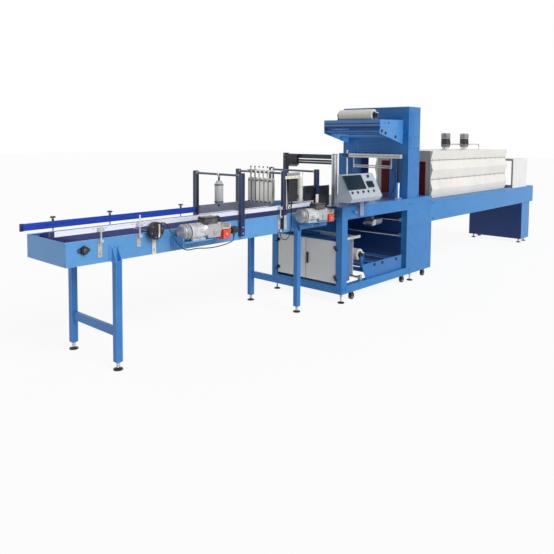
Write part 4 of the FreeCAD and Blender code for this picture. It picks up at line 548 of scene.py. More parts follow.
def mouldings(name, shape, body="base", sharp=35.0):
    """Small black moulded parts as one piece."""
    put(name, shape, black_plastic, body, sharp)


pitch, pad_top = 1.5, 17
thread = np.array([(pitch * i, 8.3 + 0.9 * (i % 2)) for i in range(60)])
for name, top, stem_x, stem_y in (("leg", 58, leg_x, 311), ("frame", 95, (2897, 4275), 437.5),
                                  ("support", 62, (7908, 8133), 382)):
    stems = grid(stem_x, (-stem_y, stem_y), 0)
    rings = int((top - pad_top) / pitch) // 2 * 2 - 6
    nut = turned([(top - 30, 14), (top - 29, 15), (top - 22, 15), (top - 21, 14)], around=6)
    threads = turned(thread[:rings], (0, 0, pad_top), around=14)
    hardware(name + "_foot_threads", (threads + nut).at(stems), sharp=60)
hub = [(-1, 20), (1, 20), (1.6, 18), (0.6, 14), (1.8, 9), (2, 4)]
for way, name in ((-1, "near"), (1, "far")):
    hubs = [(x + 22, side * 430 + way * 12, 40.5) for x in (3066, 4078, 4568) for side in (-1, 1)]
    hardware("wheel_hubs_" + name, turned(hub, towards=(0, way, 0)).at(hubs))

# Guide rails: the far rail is solid royal blue plastic, the near one a white lacquered profile
# with a blue wear strip on the belt's side and a dark end cap. The lane plate is brushed metal.
blue_plastic = Finish("blue_plastic")
rub = blue_plastic.noise(9.0, 5.0, 0.6, (0.4, 1.0, 12.0)).within(0.4, 0.8)
blue_plastic = blue_plastic.wear(Base_Color=blue_plastic.blend(rub * 0.4, (28, 66, 178), (66, 108, 206)),
                                 Roughness=0.33 + 0.2 * rub, Normal=blue_plastic.bump(rub, 0.05, 0.0006))
dress("guide_rail_far", blue_plastic, 0.0015)
rail_white = Finish("white_rail")
rub = rail_white.noise(9.0, 5.0, 0.6, (0.3, 1.0, 14.0)).within(0.4, 0.8)
lacquer = rail_white.blend(rub * 0.5, (232, 232, 244), (196, 200, 222))
rail_white = rail_white.wear(Base_Color=rail_white.blend(rail_white.past("Y", -272), lacquer, (30, 62, 150)),
                             Roughness=0.3 + 0.2 * rub)
dress("guide_rail_near", rail_white, 0.0012)
plate_metal = metal("brushed_plate", (168, 172, 180), 0.36, (0.04, 1.0, 1.0), metallic=0.8)
dress("lane_plate_far", plate_metal, 0.0008)
navy_plastic = moulded("navy_plastic", (20, 32, 84), (60, 74, 120), 0.36, 0.3)
caps = [((-110, -284, 1004), (-78, -268, 1045)), ((2585, -284, 1004), (2610, -268, 1045)),
        ((-55, 268, 979), (-30, 284, 1036)), ((1575, 268, 979), (1595, 284, 1036))]
put("rail_end_caps", sum(block(low, high, 1.5, 3, "x") for low, high in caps), navy_plastic)
near_clamps, far_clamps = (252, 571, 2114), (211, 701, 1432)
hardware("rail_screws", screws([(x + dx, -282, 1032) for x in near_clamps for dx in (-52, 52)], near, 4.5)
         + screws(grid((1680, 2120, 2560), 271, (980, 1024)), near, 5))
put("far_rail_screws", screws([(x + dx, 270, 1007) for x in far_clamps for dx in (-60, 60)], near, 4.5),
    navy_plastic)

# Rail clamps: pale slotted plates screwed to the side plates, each with an arm, an upright rod
# and the block that grips the rail, turned by a flat dark knob on the far side.
clamp_metal = Finish("clamp_plate")
dust = clamp_metal.noise(22.0, 5.0, 0.6).within(0.45, 0.8)
plate = clamp_metal.off_middle() < 0.2885
plate_tint = clamp_metal.blend(dust * 0.4, (190, 187, 176), (128, 126, 120))
clamp_metal = clamp_metal.wear(Base_Color=clamp_metal.blend(plate, (196, 200, 206), plate_tint),
                               Metallic=(1.0 - plate) * 0.75, Roughness=0.36 + 0.16 * dust)
dress(["rail_clamps_near", "rail_clamps_far"], [clamp_metal, zinc], 0.0008)
slots = [(252, 857.5), (252, 920.5), (571, 883.75), (571, 929.25), (2114, 857.5), (2114, 920.5),
         (708, 822.75), (708, 896.25)]
hardware("clamp_bolts", bolts([(x, -shelf_face, z) for x, z in slots], near, 6)
         + bolts(grid(far_clamps, shelf_face, (857.5, 920.5)), far, 6)
         + screws([(x + dx, -316, 1024) for x in near_clamps for dx in (-12, 12)], near, 4.5)
         + screws([(x + dx, 316, 999) for x in far_clamps for dx in (-12, 12)], far, 4.5))
knob = turned([(0, 8), (2, 14), (5, 20.5), (9, 21), (13, 19.5), (15.5, 15), (16, 6)], around=48, lobes=8,
              depth=0.06)
knob_neck = turned([(-13, 9.5), (-1, 9.5), (0, 8.5)], around=6)
mouldings("clamp_knobs", knob.at(grid(far_clamps, 304, 1051))
          + knob_neck.at(grid(far_clamps, 304, 1045)))

# Sensor head: a black moulded disc with a ring of screws and a small lens, and a white bar by
# which its slotted bracket grips it.
disc_x, disc_front, disc_z = 694, -345.5, 971
sensor = Finish("sensor_disc")
grooves = (sensor.from_axis("XZ", disc_x, disc_z) * 900.0).sine()
bar = (sensor.span("X", 705.5, 720.5) * sensor.before("Y", -344.5)
       | sensor.past("Y", -288) * sensor.before("Z", 934))
# The grooves' rings are real, and the navy tint along them is a painted sheen.
disc = sensor.blend(grooves * 0.12 + 0.12, (13, 14, 20), (34, 40, 66))
sensor = sensor.wear(Base_Color=sensor.blend(bar, disc, (214, 212, 206)), Roughness=0.32 + 0.06 * grooves,
                     Normal=sensor.bump(grooves, 0.15, 0.0004))
dress("sensor_drum", sensor, 0.001)
angle = np.arange(6) * np.pi / 3 + 0.3
ring_places = (disc_x, disc_front, disc_z) + 48 * np.stack([np.cos(angle), 0 * angle, np.sin(angle)], axis=1)
hardware("sensor_screws", screws(ring_places, near, 4))
lens_profile = [(0, 11), (3, 11), (4.5, 9.5), (4.5, 7.5), (5.5, 6), (6, 3)]
put("sensor_lens", turned(lens_profile, (672, disc_front, 958), near), navy_plastic)


def hoop(at, towards, radius, thick):
    """A ring of round wire: a small circle turned about a line at a distance from it."""
    small, large = np.arange(8) * np.pi / 4, np.arange(40) * 2 * np.pi / 40
    u, v, w = basis(towards)
    ring = np.cos(large)[:, None] * u + np.sin(large)[:, None] * v
    rings = (np.asarray(at) + thick * np.sin(small)[:, None, None] * w
             + (radius + thick * np.cos(small))[:, None, None] * ring)
    return skin(rings, True)


def band(at, towards, low, high, radius, rise, around):
    """A raised band round a barrel, with its edges sloped off over a millimetre."""
    profile = [(low, radius), (low + 1, radius + rise), (high - 1, radius + rise), (high, radius)]
    return turned(profile, at, towards, around)


# Geared motors: finned cast barrels behind a pressed fan cowl with a wire guard, a dark control
# box, a worm gear with its cover, and a black hand wheel that sets the speed.
spoke = block((-1.6, -0.9, 8), (0.2, 0.9, 52), 0.4)
for number, x in ((1, 874), (2, 2272)):
    f = Finish("gearmotor_cast_%d" % number)
    spots = f.noise(14.0, 5.0, 0.6).within(0.45, 0.75)
    control = f.past("Z", 987) * f.span("X", x + 190, x + 331)
    body = f.blend(spots * 0.8, (222, 223, 224), (120, 122, 128))
    cowl = f.blend(spots * 0.9, (168, 169, 172), (70, 72, 78))
    box = f.blend(spots * 0.8, (74, 74, 74), (150, 148, 142))
    tint = f.zoned(body, (f.past("X", x + 222), (190, 190, 190)), (f.before("X", x + 64), cowl),
                   (control, box))
    cast = f.wear(Base_Color=tint, Metallic=(1.0 - control) * 0.6, Roughness=0.38 + 0.16 * spots,
                  Normal=f.bump(f.noise(300.0, 3.0), 0.25, 0.0006))
    dress("gearmotor_%d" % number, cast, 0.001)
    axis = (x, -400, 942)
    wires = sum(hoop((x - 0.5, -400, 942), infeed, radius, 1.4) for radius in (12, 21, 30, 39, 48))
    spokes = sum(spoke.on(axis, ((1, 0, 0), (0, np.cos(a), np.sin(a)), (0, -np.sin(a), np.cos(a))))
                 for a in np.arange(12) * np.pi / 6)
    hardware("cowl_guard_%d" % number, wires + spokes + turned([(0, 9), (2, 9), (3, 6)], axis, infeed))
    mouldings("cowl_bands_%d" % number,
              band(axis, outfeed, 14, 19, 65.2, 1.2, 48) + band(axis, outfeed, 54, 62, 65.2, 1.4, 48))
    ring = np.arange(6) * np.pi / 3
    cover = np.column_stack([x + 317.7 + 25 * np.cos(ring), np.full(6, -459), 928 + 25 * np.sin(ring)])
    hardware("gear_hardware_%d" % number, screws(cover, near, 3.6)
             + turned([(0, 14), (3, 14), (4, 12.5), (4, 8), (1.5, 7)], (x + 317.7, -459, 928), near)
             + screws([(x + dx, -457, z) for dx in (232, 264) for z in (898, 974)], near, 5)
             + bolts([(x + dx, y, 889) for dx in (84, 190) for y in (-436, -364)], up, 5)
             + bolts([(x + 338, -451, 980), (x + 292, -451, 890)], near, 6))
    mouldings("control_lid_%d" % number, block((x + 199, -445, 1030), (x + 333, -355, 1038), 2, 5)
              + screws([(x + dx, y, 1044.6) for dx in (211, 321) for y in (-433, -367)], up, 4))
    wheel_at = (x + 347, -384, 1014)
    wheel = turned([(-1, 17), (4, 17.6), (27.5, 17.6), (28, 31), (31, 32.5), (42, 32.5), (45, 30.5),
                    (45.5, 26), (42, 22), (43, 11), (46, 10), (47, 7)], wheel_at, near, 64)
    rim = turned([(28, 29.5), (30, 31.6), (43, 31.6), (45, 29.5)], wheel_at, near, 80, 10, 0.05)
    crank = turned([(44, 4.5), (50, 5), (60, 6), (63, 4.5), (64, 2)], (x + 365, -384, 1014), near, 16)
    mouldings("hand_wheel_%d" % number, wheel + rim + crank)

# Safety switches: red cases with a screwed cover and a dark gasket, hung under a cream ribbed
# bracket, with a knurled round black actuator at the side.
for number, x in ((1, 1252), (2, 2650)):
    f = Finish("switch_case_%d" % number)
    dust = f.noise(20.0, 4.0).within(0.45, 0.8)
    red = f.blend(dust * 0.3, (232, 66, 40), (240, 120, 96))
    black = f.past("X", x + 88.5)
    bracket = f.past("Z", 935.2) * (1.0 - black)
    case = f.wear(Base_Color=f.zoned(red, (bracket, (214, 208, 194)), (black, (22, 23, 27))),
                  Roughness=0.36 + 0.14 * dust, Normal=f.bump(f.noise(400.0), 0.1, 0.0004))
    dress("switch_box_%d" % number, case, 0.0025, 3)
    mouldings("switch_gasket_%d" % number, block((x + 2, -444, 857), (x + 86, -441, 933), 1, 5, "y"))
    hardware("switch_screws_%d" % number, screws(grid((x + 13, x + 75), -460, (868, 922)), near, 4)
             + turned([(0, 9), (2, 9), (3, 8), (3, 5), (1.5, 4.6)], (x + 44, -460, 895), near))
    knurl = turned([(0, 26), (2, 29.8), (30, 29.8), (32, 28), (34, 28), (36, 29.8), (50, 29.8), (52, 27)],
                   (x + 124, -420.6, 913), outfeed, 96, 24, 0.02)
    mouldings("switch_actuator_%d" % number, knurl, sharp=50)

# Lane portals: square slotted aluminium profiles, painted dark navy as shade on the operator's
# face, clamped on the side plates with a round steel bar between them. The first carries a clear air
# canister, the
# second a cream angle with its star knob over a pale foot plate, and the third a cream block.
portals = (1612, 2160, 2645)
canister_foot = (1612, -13, 1078)


def slotted_profile(name, x, inner, slot_y, front_y, light, extra):
    """Drawn profile: fine lines along it and a slot down the middle of each face, which the bump
    sinks and which is painted dark as its shade. Only posts further out than inner have slots, and
    what is in front is painted dimmer as shade."""
    f = Finish(name)
    away = f.off_middle()
    middle = abs(f.part("X") - float(on_line((x, 0, 0))[0])) < 0.004
    groove = (middle | (abs(away - slot_y / 1000.0) < 0.004)) * (away > (inner / 1000.0))
    lines = f.noise(260.0, 3.0, 0.6, (1.0, 1.0, 0.03))
    front = f.before("Y", front_y)
    # Painted shade: dark navy on what stands in front, the near post's operator face, and near black in the
    # slots.
    tint = f.zoned(light, (front, (30, 54, 112)), (groove, (28, 32, 44)))
    tint, metallic = extra(f, tint, 0.75 - 0.35 * front)
    return f.wear(Base_Color=tint, Metallic=metallic, Roughness=0.34 + 0.12 * lines,
                  Normal=f.bump(1.0 - groove, 0.6, 0.002))


def canister(f, tint, metallic):
    """Clear grey plastic round the hung canister's axis, with a white ring on the bar."""
    body = (f.from_axis("XY", *canister_foot[:2]) < 0.04) * f.before("Z", 1290)
    ring = f.span("Y", -22.5, -3.5) * f.past("Z", 1322)
    tint = f.zoned(tint, (body, (192, 195, 194)), (ring, (236, 236, 236)))
    return tint, metallic * (1.0 - (body | ring))


def cream_fitting(f, tint, metallic):
    """Cream paint on whatever stands in front of the near post."""
    front = f.before("Y", -323.4)
    return f.blend(front, tint, (226, 220, 202)), metallic * (1.0 - front)


for number, x, extra in zip((1, 2, 3), portals, (canister, cream_fitting, cream_fitting)):
    dress("lane_portal_%d" % number, slotted_profile("portal_profile_%d" % number, x, 276, 303, -322.2,
                                                     (84, 90, 106), extra), 0.0012)
mouldings("portal_caps", sum(block((x - 20.5, y - 20.5, 1361), (x + 20.5, y + 20.5, 1365.5), 1.5, 4)
                             for x in portals for y in (-303, 303)))
put("portal_foot_plate", block((2141, -326, 824), (2179, -322.4, 956), 1, 4, "y"), clamp_metal)
bar_collar = [(0, 15), (10, 15), (11, 14), (11, 10.5)]
hardware("portal_bolts", both_sides(bolts, grid(portals, 323, (846, 900)), 5.5)
         + screws([(2604 + dx, -333, z) for dx in (9, 30) for z in (1050, 1106)], near, 3.6)
         + screws(grid((2180, 2230, 2290, 2335), -331, 1306), near, 4)
         + sum(turned(bar_collar, towards=(0, -side, 0)).at(grid(portals, side * 283, 1344))
               for side in (-1, 1)))
star = turned([(0, 8), (3, 15), (10, 16.5), (14, 15.5), (18, 9), (21, 8), (22, 5)], (2186, -331, 1027), near,
              60, 5, 0.14)
mouldings("lane_knobs", star + sum(band(canister_foot, up, z, z + 10, 39.2, 1.8, 40) for z in (16, 168))
          + turned([(0, 9), (6, 10), (14, 7), (20, 5)], canister_foot, down, 16)
          + turned([(0, 5), (10, 5), (12, 4)], (1600, -32, 1262), (-0.5, -0.8, 0), 12))

# Lane stops: six slim air cylinders hung from the second portal's bar, in pale anodised square
# tube between cream end covers held by tie rods, with small black elbows for the air.
cylinder = Finish("cylinder_tube")
lines = cylinder.noise(260.0, 3.0, 0.6, (1.0, 1.0, 0.03))
# The four nearest tubes are painted paler, as lit, and the two farthest darker, as shade.
tube = cylinder.blend(cylinder.past("Y", 76), (240, 238, 230), (176, 175, 172))
cylinder = cylinder.wear(Base_Color=tube, Metallic=0.45, Roughness=0.34 + 0.1 * lines,
                         Normal=cylinder.bump(lines, 0.08, 0.0004))
dress("lane_stops", cylinder, 0.0012)
stop_x = 2190.3
rows = grid(0, (-120, -64, -8, 48, 104, 160), 0)
end_covers = sum(block((2169.6, -20.7, z), (2211, 20.7, z + 24.5), 1.5, 4) for z in (1045.5, 1252))
elbow = [(-2, 5.5), (5, 5.5), (6, 6.5), (13, 6.5), (15, 4)]
put("cylinder_covers", end_covers.at(rows), metal("cylinder_cover", (214, 212, 206), 0.4, metallic=0.1))
inlet = turned([(0, 7.5), (6, 7.5), (8, 6), (12, 6), (14, 3.5)], (stop_x, 0, 1386), up, 16)
elbows = sum(turned(elbow, (2170, 0, z), infeed, 14) for z in (1262, 1058))
mouldings("cylinder_elbows", (elbows + inlet).at(rows))
nuts = turned([(0, 3.2), (3, 3.2), (3.6, 2.4)], towards=down, around=6).at(grid((-14, 14), (-14, 14), 0))
hardware("tie_rod_nuts", nuts.at(rows + (stop_x, 0, 1045.5)))

# Side guards: dark plastic panels screwed to the portals, with a grey head rail and a cream
# round column at the end of the first.
column_x, column_y = 2405, -291
panel = Finish("guard_panel")
dust = panel.noise(16.0, 5.0, 0.6).within(0.45, 0.8)
column = panel.from_axis("XY", column_x, column_y) < 0.0286
head = panel.past("Z", 1301) * panel.before("X", 2404)
dark = panel.blend(dust * 0.25, (20, 22, 32), (66, 70, 84))
panel = panel.wear(Base_Color=panel.zoned(dark, (head, (158, 162, 170)), (column, (212, 209, 200))),
                   Metallic=head * 0.6, Roughness=0.32 + 0.2 * dust)
dress("side_guards", panel, 0.0012)
panels = (((2192, 2348), (1088, 1288)), ((2447, 2613), (1076, 1198)), ((2677, 2847), (1010, 1187)))
panel_screws = [(x, -299, z) for across, tall in panels for z in tall for x in across]
hardware("guard_screws", screws(panel_screws, near, 4.5)
         + screws(grid((2200, 2290, 2362), -307, 1323), near, 5))
column_band = band((0, 0, 0), up, 0, 9, 28.2, 1.4, 32)
hardware("column_bands", column_band.at(grid(column_x, column_y, (1090, 1200, 1328))))

# Pusher portal: two slotted posts on the deck with three cross bars, dark on their faces, and
# the pusher's navy valve block with its push fittings.


def valve_block(f, tint, metallic):
    """Dark navy on the valve block, and dark on the bars and the far post."""
    valve = f.before("X", 2887.4) * f.span("Y", 129, 261)
    return (f.zoned(tint, (f.past("Y", -300), (58, 62, 74)), (valve, (14, 20, 52))),
            metallic * (1.0 - valve))


pusher_metal = slotted_profile("pusher_profile", 2905, 306, 330, -600, (200, 204, 208), valve_block)
dress("pusher_portal", pusher_metal, 0.0012)
posts = sum(block((2882, y - 23, 1511), (2928, y + 23, 1516), 1.5, 4) for y in (-330, 330))
fitting = turned([(-1, 6), (6, 6), (7, 7.5), (15, 7.5), (17, 5)], (2867.5, 0, 1390), down, 14)
slices = block((2845.5, 131, 1394), (2848.5, 148, 1496), 1, 2).at([(0, 18.5 * k, 0) for k in range(7)])
mouldings("pusher_fittings", posts + fitting.at(grid(0, np.linspace(142, 248, 6), 0)) + slices)
hardware("pusher_feet", bolts([(2905 + dx, y, 983) for y in (-330, 330) for dx in (-33, 33)], up, 5.5)
         + screws(grid(2882, (-330, 330), (1420, 1442, 1485, 1500)), infeed, 4))

# Wrapping frame: welded tube posts and beams with sheet panels, and a deck between them that
# carries the film drive. Its inside below the deck is painted navy as shade, and quarter turn
# locks hold the panels.
frame_side = 475


def under_deck_shade(f):
    """1 on surfaces inside the frame's side beams and below the deck, where navy is painted as shade."""
    return (f.off_middle() < 0.3985) * f.before("Z", 974) * f.span("X", 2880, 4710)


def locks(places, towards, size):
    """Quarter turn locks: low round heads with a dip in the middle."""
    profile = [(0, 1.1), (0.2, 1.1), (0.3, 0.95), (0.3, 0.5), (0.15, 0.46)]
    return turned(np.array(profile) * size, towards=towards).at(places)


# Navy painted as shade inside the frame, below the deck.
frame_paint = powder_coat("frame_paint", (26, 120, 190), (90, 160, 216), zone=under_deck_shade,
                          inner=(18, 56, 114))
dress(["wrapper_frame", "rear_cabinet"], frame_paint, 0.003)
dress("wrapper_deck", powder_coat("deck_paint", (26, 48, 104), (80, 100, 150), 0.3), 0.0015)
fins = turned([(0, 43), (2, 44), (8, 44), (10, 43)], (3653, -290, 747), outfeed, 40)
pulley = turned([(-66, 33), (-64, 34), (64, 34), (66, 33), (66, 12), (70, 10)], (3623, -290, 747), near, 40)
hardware("drive_motor_fins", fins.at(grid(range(6, 151, 24), 0, 0)) + pulley)
panel_places = grid((4190, 4655), frame_side, (150, 640, 800))
put("panel_locks", both_sides(locks, panel_places, 10), frame_paint[0])
beam_places = [*grid((2872, 2922), frame_side, (130, 150)), *grid((4160, 4220, 4640, 4690), frame_side, 919)]
put("frame_bolts", both_sides(bolts, beam_places, 7), frame_paint[0])

# Electrical cabinet: a folded sheet box between the front posts, with a galvanised mounting
# plate that carries rails of plain switchgear and slotted ducts.
dress("cabinet_body", powder_coat("cabinet_paint", (52, 112, 180), (104, 150, 206)), 0.0015)
rail_heights = (330, 500)
breaker = block((3045, -9, -34), (3076, 9, 34), 1.5, 2) + block((3032, -5, -12), (3046, 5, 12), 1.5, 2)
mouldings("cabinet_switchgear",
          breaker.at([(0, y, z) for y in range(-280, 281, 20) if y % 140 for z in rail_heights]))
duct = block((3036, -320, -14), (3077, 320, 14), 1.5, 2, "y")
teeth = block((3034.5, -3, -12), (3036.5, 3, 12), 0.5).at(grid(0, range(-312, 313, 12), 0))
put("cabinet_ducts", (duct + teeth).at(grid(0, 0, (275, 415, 556))),
    moulded("duct_grey", (150, 154, 158), (120, 122, 126), 0.5))
gear_rail = block((3074, -325, -17), (3078, 325, 17), 0.8, 1.2, "y")
hardware("cabinet_rails", gear_rail.at(grid(0, 0, rail_heights)))

# Cabinet doors: folded sheet in light grey paint with a rubber seal behind, a black swing
# handle on the near one, and lift off hinges of black iron.


def sheet_paint(name, colour, worn, share, zone, inner, gloss, dull=0.1, grain=(9.0, 5.0, 0.6), **constants):
    """Painted sheet that is a little worn in patches, with another colour where the zone is 1."""
    f = Finish(name)
    patches = f.noise(*grain).within(0.35, 0.7)
    return f.wear(Base_Color=f.blend(zone(f), f.blend(patches * share, colour, worn), inner),
                  Roughness=gloss + dull * patches, Normal=f.bump(f.noise(420.0), 0.1, 0.0006), **constants)


def door_iron(f):
    """1 on the hinge leaves and on the swing handle."""
    front = f.before("X", 2859.6)
    return (f.off_middle() > 0.3605) * front | f.before("X", 2853.0) | f.span("Y", -39, -17) * front


for name, side in (("near", -1), ("far", 1)):
    dress("cabinet_door_" + name,
          sheet_paint("door_paint_" + name, (222, 221, 214), (200, 200, 194), 0.15, door_iron,
                      (26, 28, 32), 0.36, 0.12, (11.0, 5.0, 0.65), Coat_Weight=0.2, Coat_Roughness=0.22),
          0.002)
    low, high = sorted((12 * side, 384 * side))
    across = sum(block((2877.5, low, z), (2882, high, z + 10), 1.5, 2, "y") for z in (212, 608))
    tall = sum(block((2877.5, y, 212), (2882, y + 10, 618), 1.5, 2) for y in (low, high - 10))
    mouldings("door_seal_" + name, across + tall, "door_" + name)
mouldings("door_handle", block((2845, -37, 366), (2849, -19, 474), 1.8, 4)
          + block((2841, -35.5, 372), (2847, -20.5, 440), 2.5, 4)
          + turned([(0, 9), (3, 9), (4, 8), (4, 4), (2, 3.6)], (2846, -28, 458), infeed), "door_near")
hardware("door_rivets", screws(grid(2857, (-384, -372), (256, 270, 560, 574)), infeed, 3),
         "door_near")
dress("cabinet_hinges", cast_iron, 0.0008)

# Sealing gantry: a closed blue housing over the product gate, with a shallow recess in its face,
# a cover plate on its side, the cheeks and shoulder beside the gate, and a slot in the far cheek.
# The gate's inside and the slot's walls are painted darker navy as shade, and a black block deep
# in the slot stands for its shade.


def gate_and_slot_shade(f):
    """1 inside the product gate, and on the walls of the slot in the far cheek, where darker navy is painted
    as shade.
    """
    gate = f.span("Y", -251, 251) * f.before("Z", 1451) * f.past("X", 4145)
    return gate | f.span("Y", 345.5, 370.5) * f.span("Z", 1249.5, 1405.5) * f.past("X", 4084.8)


gantry_paint = powder_coat("gantry_paint", (24, 116, 188), (86, 156, 214), zone=gate_and_slot_shade,
                           inner=(20, 60, 124))
dress(["gantry", "gate_cheeks"], gantry_paint, 0.003, flatten=False)
side_cover = block((4172, -463.2, 1560), (4378, -460, 1985), 1.2, 10, "y")
put("gantry_side_cover", side_cover, gantry_paint[0])
cheek_places = [*grid(4084, (-336, -262), (1400, 1436)), *grid(4084, (206, 428), (1010, 1420))]
put("gantry_screws", screws(grid((4182, 4275, 4368), -463.2, (1570, 1700, 1842, 1975)), near)
    + screws(grid(4144, (-205, -60, 110, 258), (1506, 1658)), infeed)
    + screws(cheek_places, infeed)
    + bolts(grid((4170, 4380), -461, 1010), near, 7), gantry_paint[0])
# A black block deep in the slot, put there as its shade.
mouldings("cheek_slot_shade_block", block((4098, 347, 1251), (4103.8, 369, 1404), 1, 4, "x"))

# Seal bar: an aluminium jaw across the line with a heat proof strip and bolted end blocks, which
# slides on bright rods with its lift cylinder and its two film rods.
jaw = Finish("seal_jaw")
lines = jaw.noise(260.0, 3.0, 0.6, (1.0, 0.04, 1.0))
tail = jaw.past("Y", 292) * jaw.past("Z", 1449)
sleeve = (jaw.from_axis("XY", 4047, -399) < 0.0256) * jaw.before("Z", 1450)
strip = jaw.span("Z", 1466, 1478)
tint = jaw.zoned((196, 197, 198), (strip, (176, 172, 160)), (sleeve, (46, 56, 86)),
                 (tail, (26, 28, 34)))
jaw = jaw.wear(Base_Color=tint, Metallic=(1.0 - (tail | strip)) * 0.7, Roughness=0.32 + 0.12 * lines,
               Normal=jaw.bump(lines, 0.08, 0.0004))
dress("seal_bar", jaw, 0.001)
top_spots = (-372, -300, -220, -140, -60, 20, 100, 180, 260, 300)
hardware("jaw_bolts", screws(grid(4047, top_spots, 1494), up, 6)
         + screws(grid(4022, range(-360, 281, 80), 1460), infeed, 4), "seal_carriage")
dress(["lift_rods", "film_rollers"], steel, 0.0006)

# Film rolls: wound shrink film, whose ends show its turns, on a cardboard core, held on a steel
# shaft by black rings. The web is the film itself, led up between two rollers.
end_ring = [(0, 20), (0, 32), (2, 34), (8, 34), (10, 31), (10, 21)]
for name, x, z, middle in (("upper", 3704, 1943, -45), ("lower", 3378, 420, -105)):
    f = Finish("wound_film_" + name)
    away = f.from_axis("XZ", x, z)
    bands = f.noise(6.0, 4.0, 0.5, (1.0, 30.0, 1.0)).within(0.3, 0.7)
    core, shaft = away < 0.0251, away < 0.0192
    card = f.blend(f.noise(60.0, 4.0), (150, 118, 84), (178, 148, 110))
    warm = f.blend(bands * 0.5, (222, 217, 206), (196, 194, 186))
    dress("film_roll_" + name, f.wear(
        Base_Color=f.zoned(warm, (core, card), (shaft, (40, 42, 48))), Metallic=shaft * 0.6,
        Roughness=0.26 + 0.12 * bands + 0.3 * core, Coat_Weight=0.4 * (1.0 - core),
        Normal=f.bump((away * 1900.0).sine(), 0.15, 0.0003)))
    mouldings("roll_rings_" + name,
              sum(turned(end_ring, (x, middle + side * 225, z), (0, side, 0)) for side in (-1, 1))
              + screws([(x + dx, middle - 235, z) for dx in (27, -27)], near, 3.5), name + "_roll")
web = Finish("film_web")
gleam = web.noise(4.0, 3.0, 0.5, (1.0, 6.0, 0.6)).within(0.35, 0.65)
web = web.wear(Base_Color=web.blend(gleam * 0.3, (246, 247, 248), (222, 228, 234)),
               Roughness=0.2 + 0.12 * gleam, Coat_Weight=0.5)


def sheets(name, surface, thick, finish, node):
    """Open sheets over grids of points, rows by columns, each given its thickness both ways."""
    count, rows, across = surface.shape[:3]
    number = np.arange(rows * across).reshape(rows, across)
    quads = np.stack([number[:-1, :-1], number[:-1, 1:], number[1:, 1:], number[1:, :-1]], axis=-1)
    corners = np.arange(count)[:, None] * rows * across + quads.ravel()
    shape = Shape(surface.reshape(-1, 3), corners.ravel(), np.full(corners.size // 4, 4))
    piece = put(name, shape, finish, sharp=80)
    wall = piece.modifiers.new("thickness", "SOLIDIFY")
    wall.thickness, wall.offset = thick / 1000.0, 0.0
    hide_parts(node)
    return piece


web_low, web_tall, web_middle, web_half = 212.5, 415, -105, 225
height, width = np.meshgrid(np.linspace(web_low, web_low + web_tall, 60),
                            np.linspace(web_middle - web_half, web_middle + web_half, 60), indexing="ij")
pull = np.sin(np.pi * (height - web_low) / web_tall) * (0.4 + 0.6 * np.abs((width - web_middle) / web_half))
ripple = 0.9 * pull * np.sin(width / 21.0 + 1.4 * np.sin(height / 90.0))
surface = np.stack([3256 + ripple, width, height], axis=-1)[None]
film_sheet = sheets("film_sheet", surface, 0.5, web, "film_web")

# Cradles: laser cut side plates in blue with rollers between them and notched stands for the
# roll's shaft, a white catch on each, and small black bearings where the rollers end.


def stands_and_channel_shade(f):
    """1 on the upper cradle's dark stands, and on the two pressed channels across its front plate, whose
    shade is painted navy.
    """
    stands = (abs(f.part("Y") - line_middle + 0.045) < 0.262) * f.past("Z", 1899)
    return stands | (f.span("Z", 1780, 1816) | f.span("Z", 1836, 1850)) * f.before("X", 3650)


def pins(places, towards, size):
    """Bearing covers with a pin's end standing out of each."""
    return turned(np.array([(-0.1, 1.7), (0.5, 1.7), (0.7, 1.55), (0.7, 0.8), (0.9, 0.7)]) * size,
                  towards=towards).at(places)


# Navy on the stands, and painted shade on the front plate's channels.
upper_paint = powder_coat("upper_cradle_paint", (72, 142, 210), (120, 178, 228), zone=stands_and_channel_shade,
                          inner=(20, 42, 88))
dress("upper_cradle", upper_paint, 0.0012)
dress("lower_cradle", powder_coat("lower_cradle_paint", (20, 108, 178), (84, 154, 212)), 0.0012)
mouldings("roller_bearings", both_sides(pins, ((3687, 385, 1761), (3767, 385, 1739), (3977, 385, 1699)), 10)
          + both_sides(pins, grid((3505, 3665, 3955), 440, 306), 10))
plate_places = [*grid(4120, 385, (1870, 1760, 1660)), *grid(3660, 385, (1868, 1800))]
put("cradle_bolts", both_sides(bolts, plate_places, 6)
    + bolts([*grid((3380, 3800, 4050), -440, 200), (4050, -440, 310)], near, 6)
    + screws(grid(3647, (-350, -180, 0, 180, 350), (1805, 1870)), infeed),
    upper_paint[0])
catch = block((21, 0, -20), (27, 6, 26), 1.2, 2) + block((-16, 0, 20), (27, 6, 26), 1.2, 2, "x")
put("shaft_catches", catch.at([*grid(3704, (-310, 214), 1943), *grid(3378, (-370, 154), 420)]),
    rail_white)

# Operator's console: a folded light grey case with a sloping face, which holds a dark touch
# screen and a small meter in black bezels, five push buttons and a knob, on a swivel arm.
dress("control_panel",
      sheet_paint("console_paint", (176, 186, 198), (156, 166, 178), 0.12,
                  lambda f: f.before("X", 2727.5) | f.past("X", 3252.5), (178, 188, 200), 0.36,
                  grain=(11.0, 5.0, 0.65), Coat_Weight=0.2), 0.004, 3)
dress("panel_arm", powder_coat("arm_paint", (146, 156, 190), (176, 184, 208)), 0.0015)
slope = (0, -557, 1319), np.array(((0, -0.4837, -0.8752), (1, 0, 0), (0, -0.8752, 0.4837)))


def bezel(down0, down1, x0, x1):
    """A raised frame on the sloping face: a rounded bar's section carried round a rounded
    rectangle, always square to it."""
    radius, edge = 8.0, 2.5
    centre, ray = outline(down1 - down0, x1 - x0, radius)
    path = centre + radius * ray + ((down0 + down1) / 2, (x0 + x1) / 2)
    section_centre, section_ray = outline(9, 8, edge)
    section = section_centre + edge * section_ray
    flat = path[None] + section[:, 0][:, None, None] * ray[None]
    rise = np.broadcast_to(section[:, 1][:, None, None] + 1.0, flat.shape[:2] + (1,))
    return skin(np.concatenate([flat, rise], axis=-1)[::-1], True)


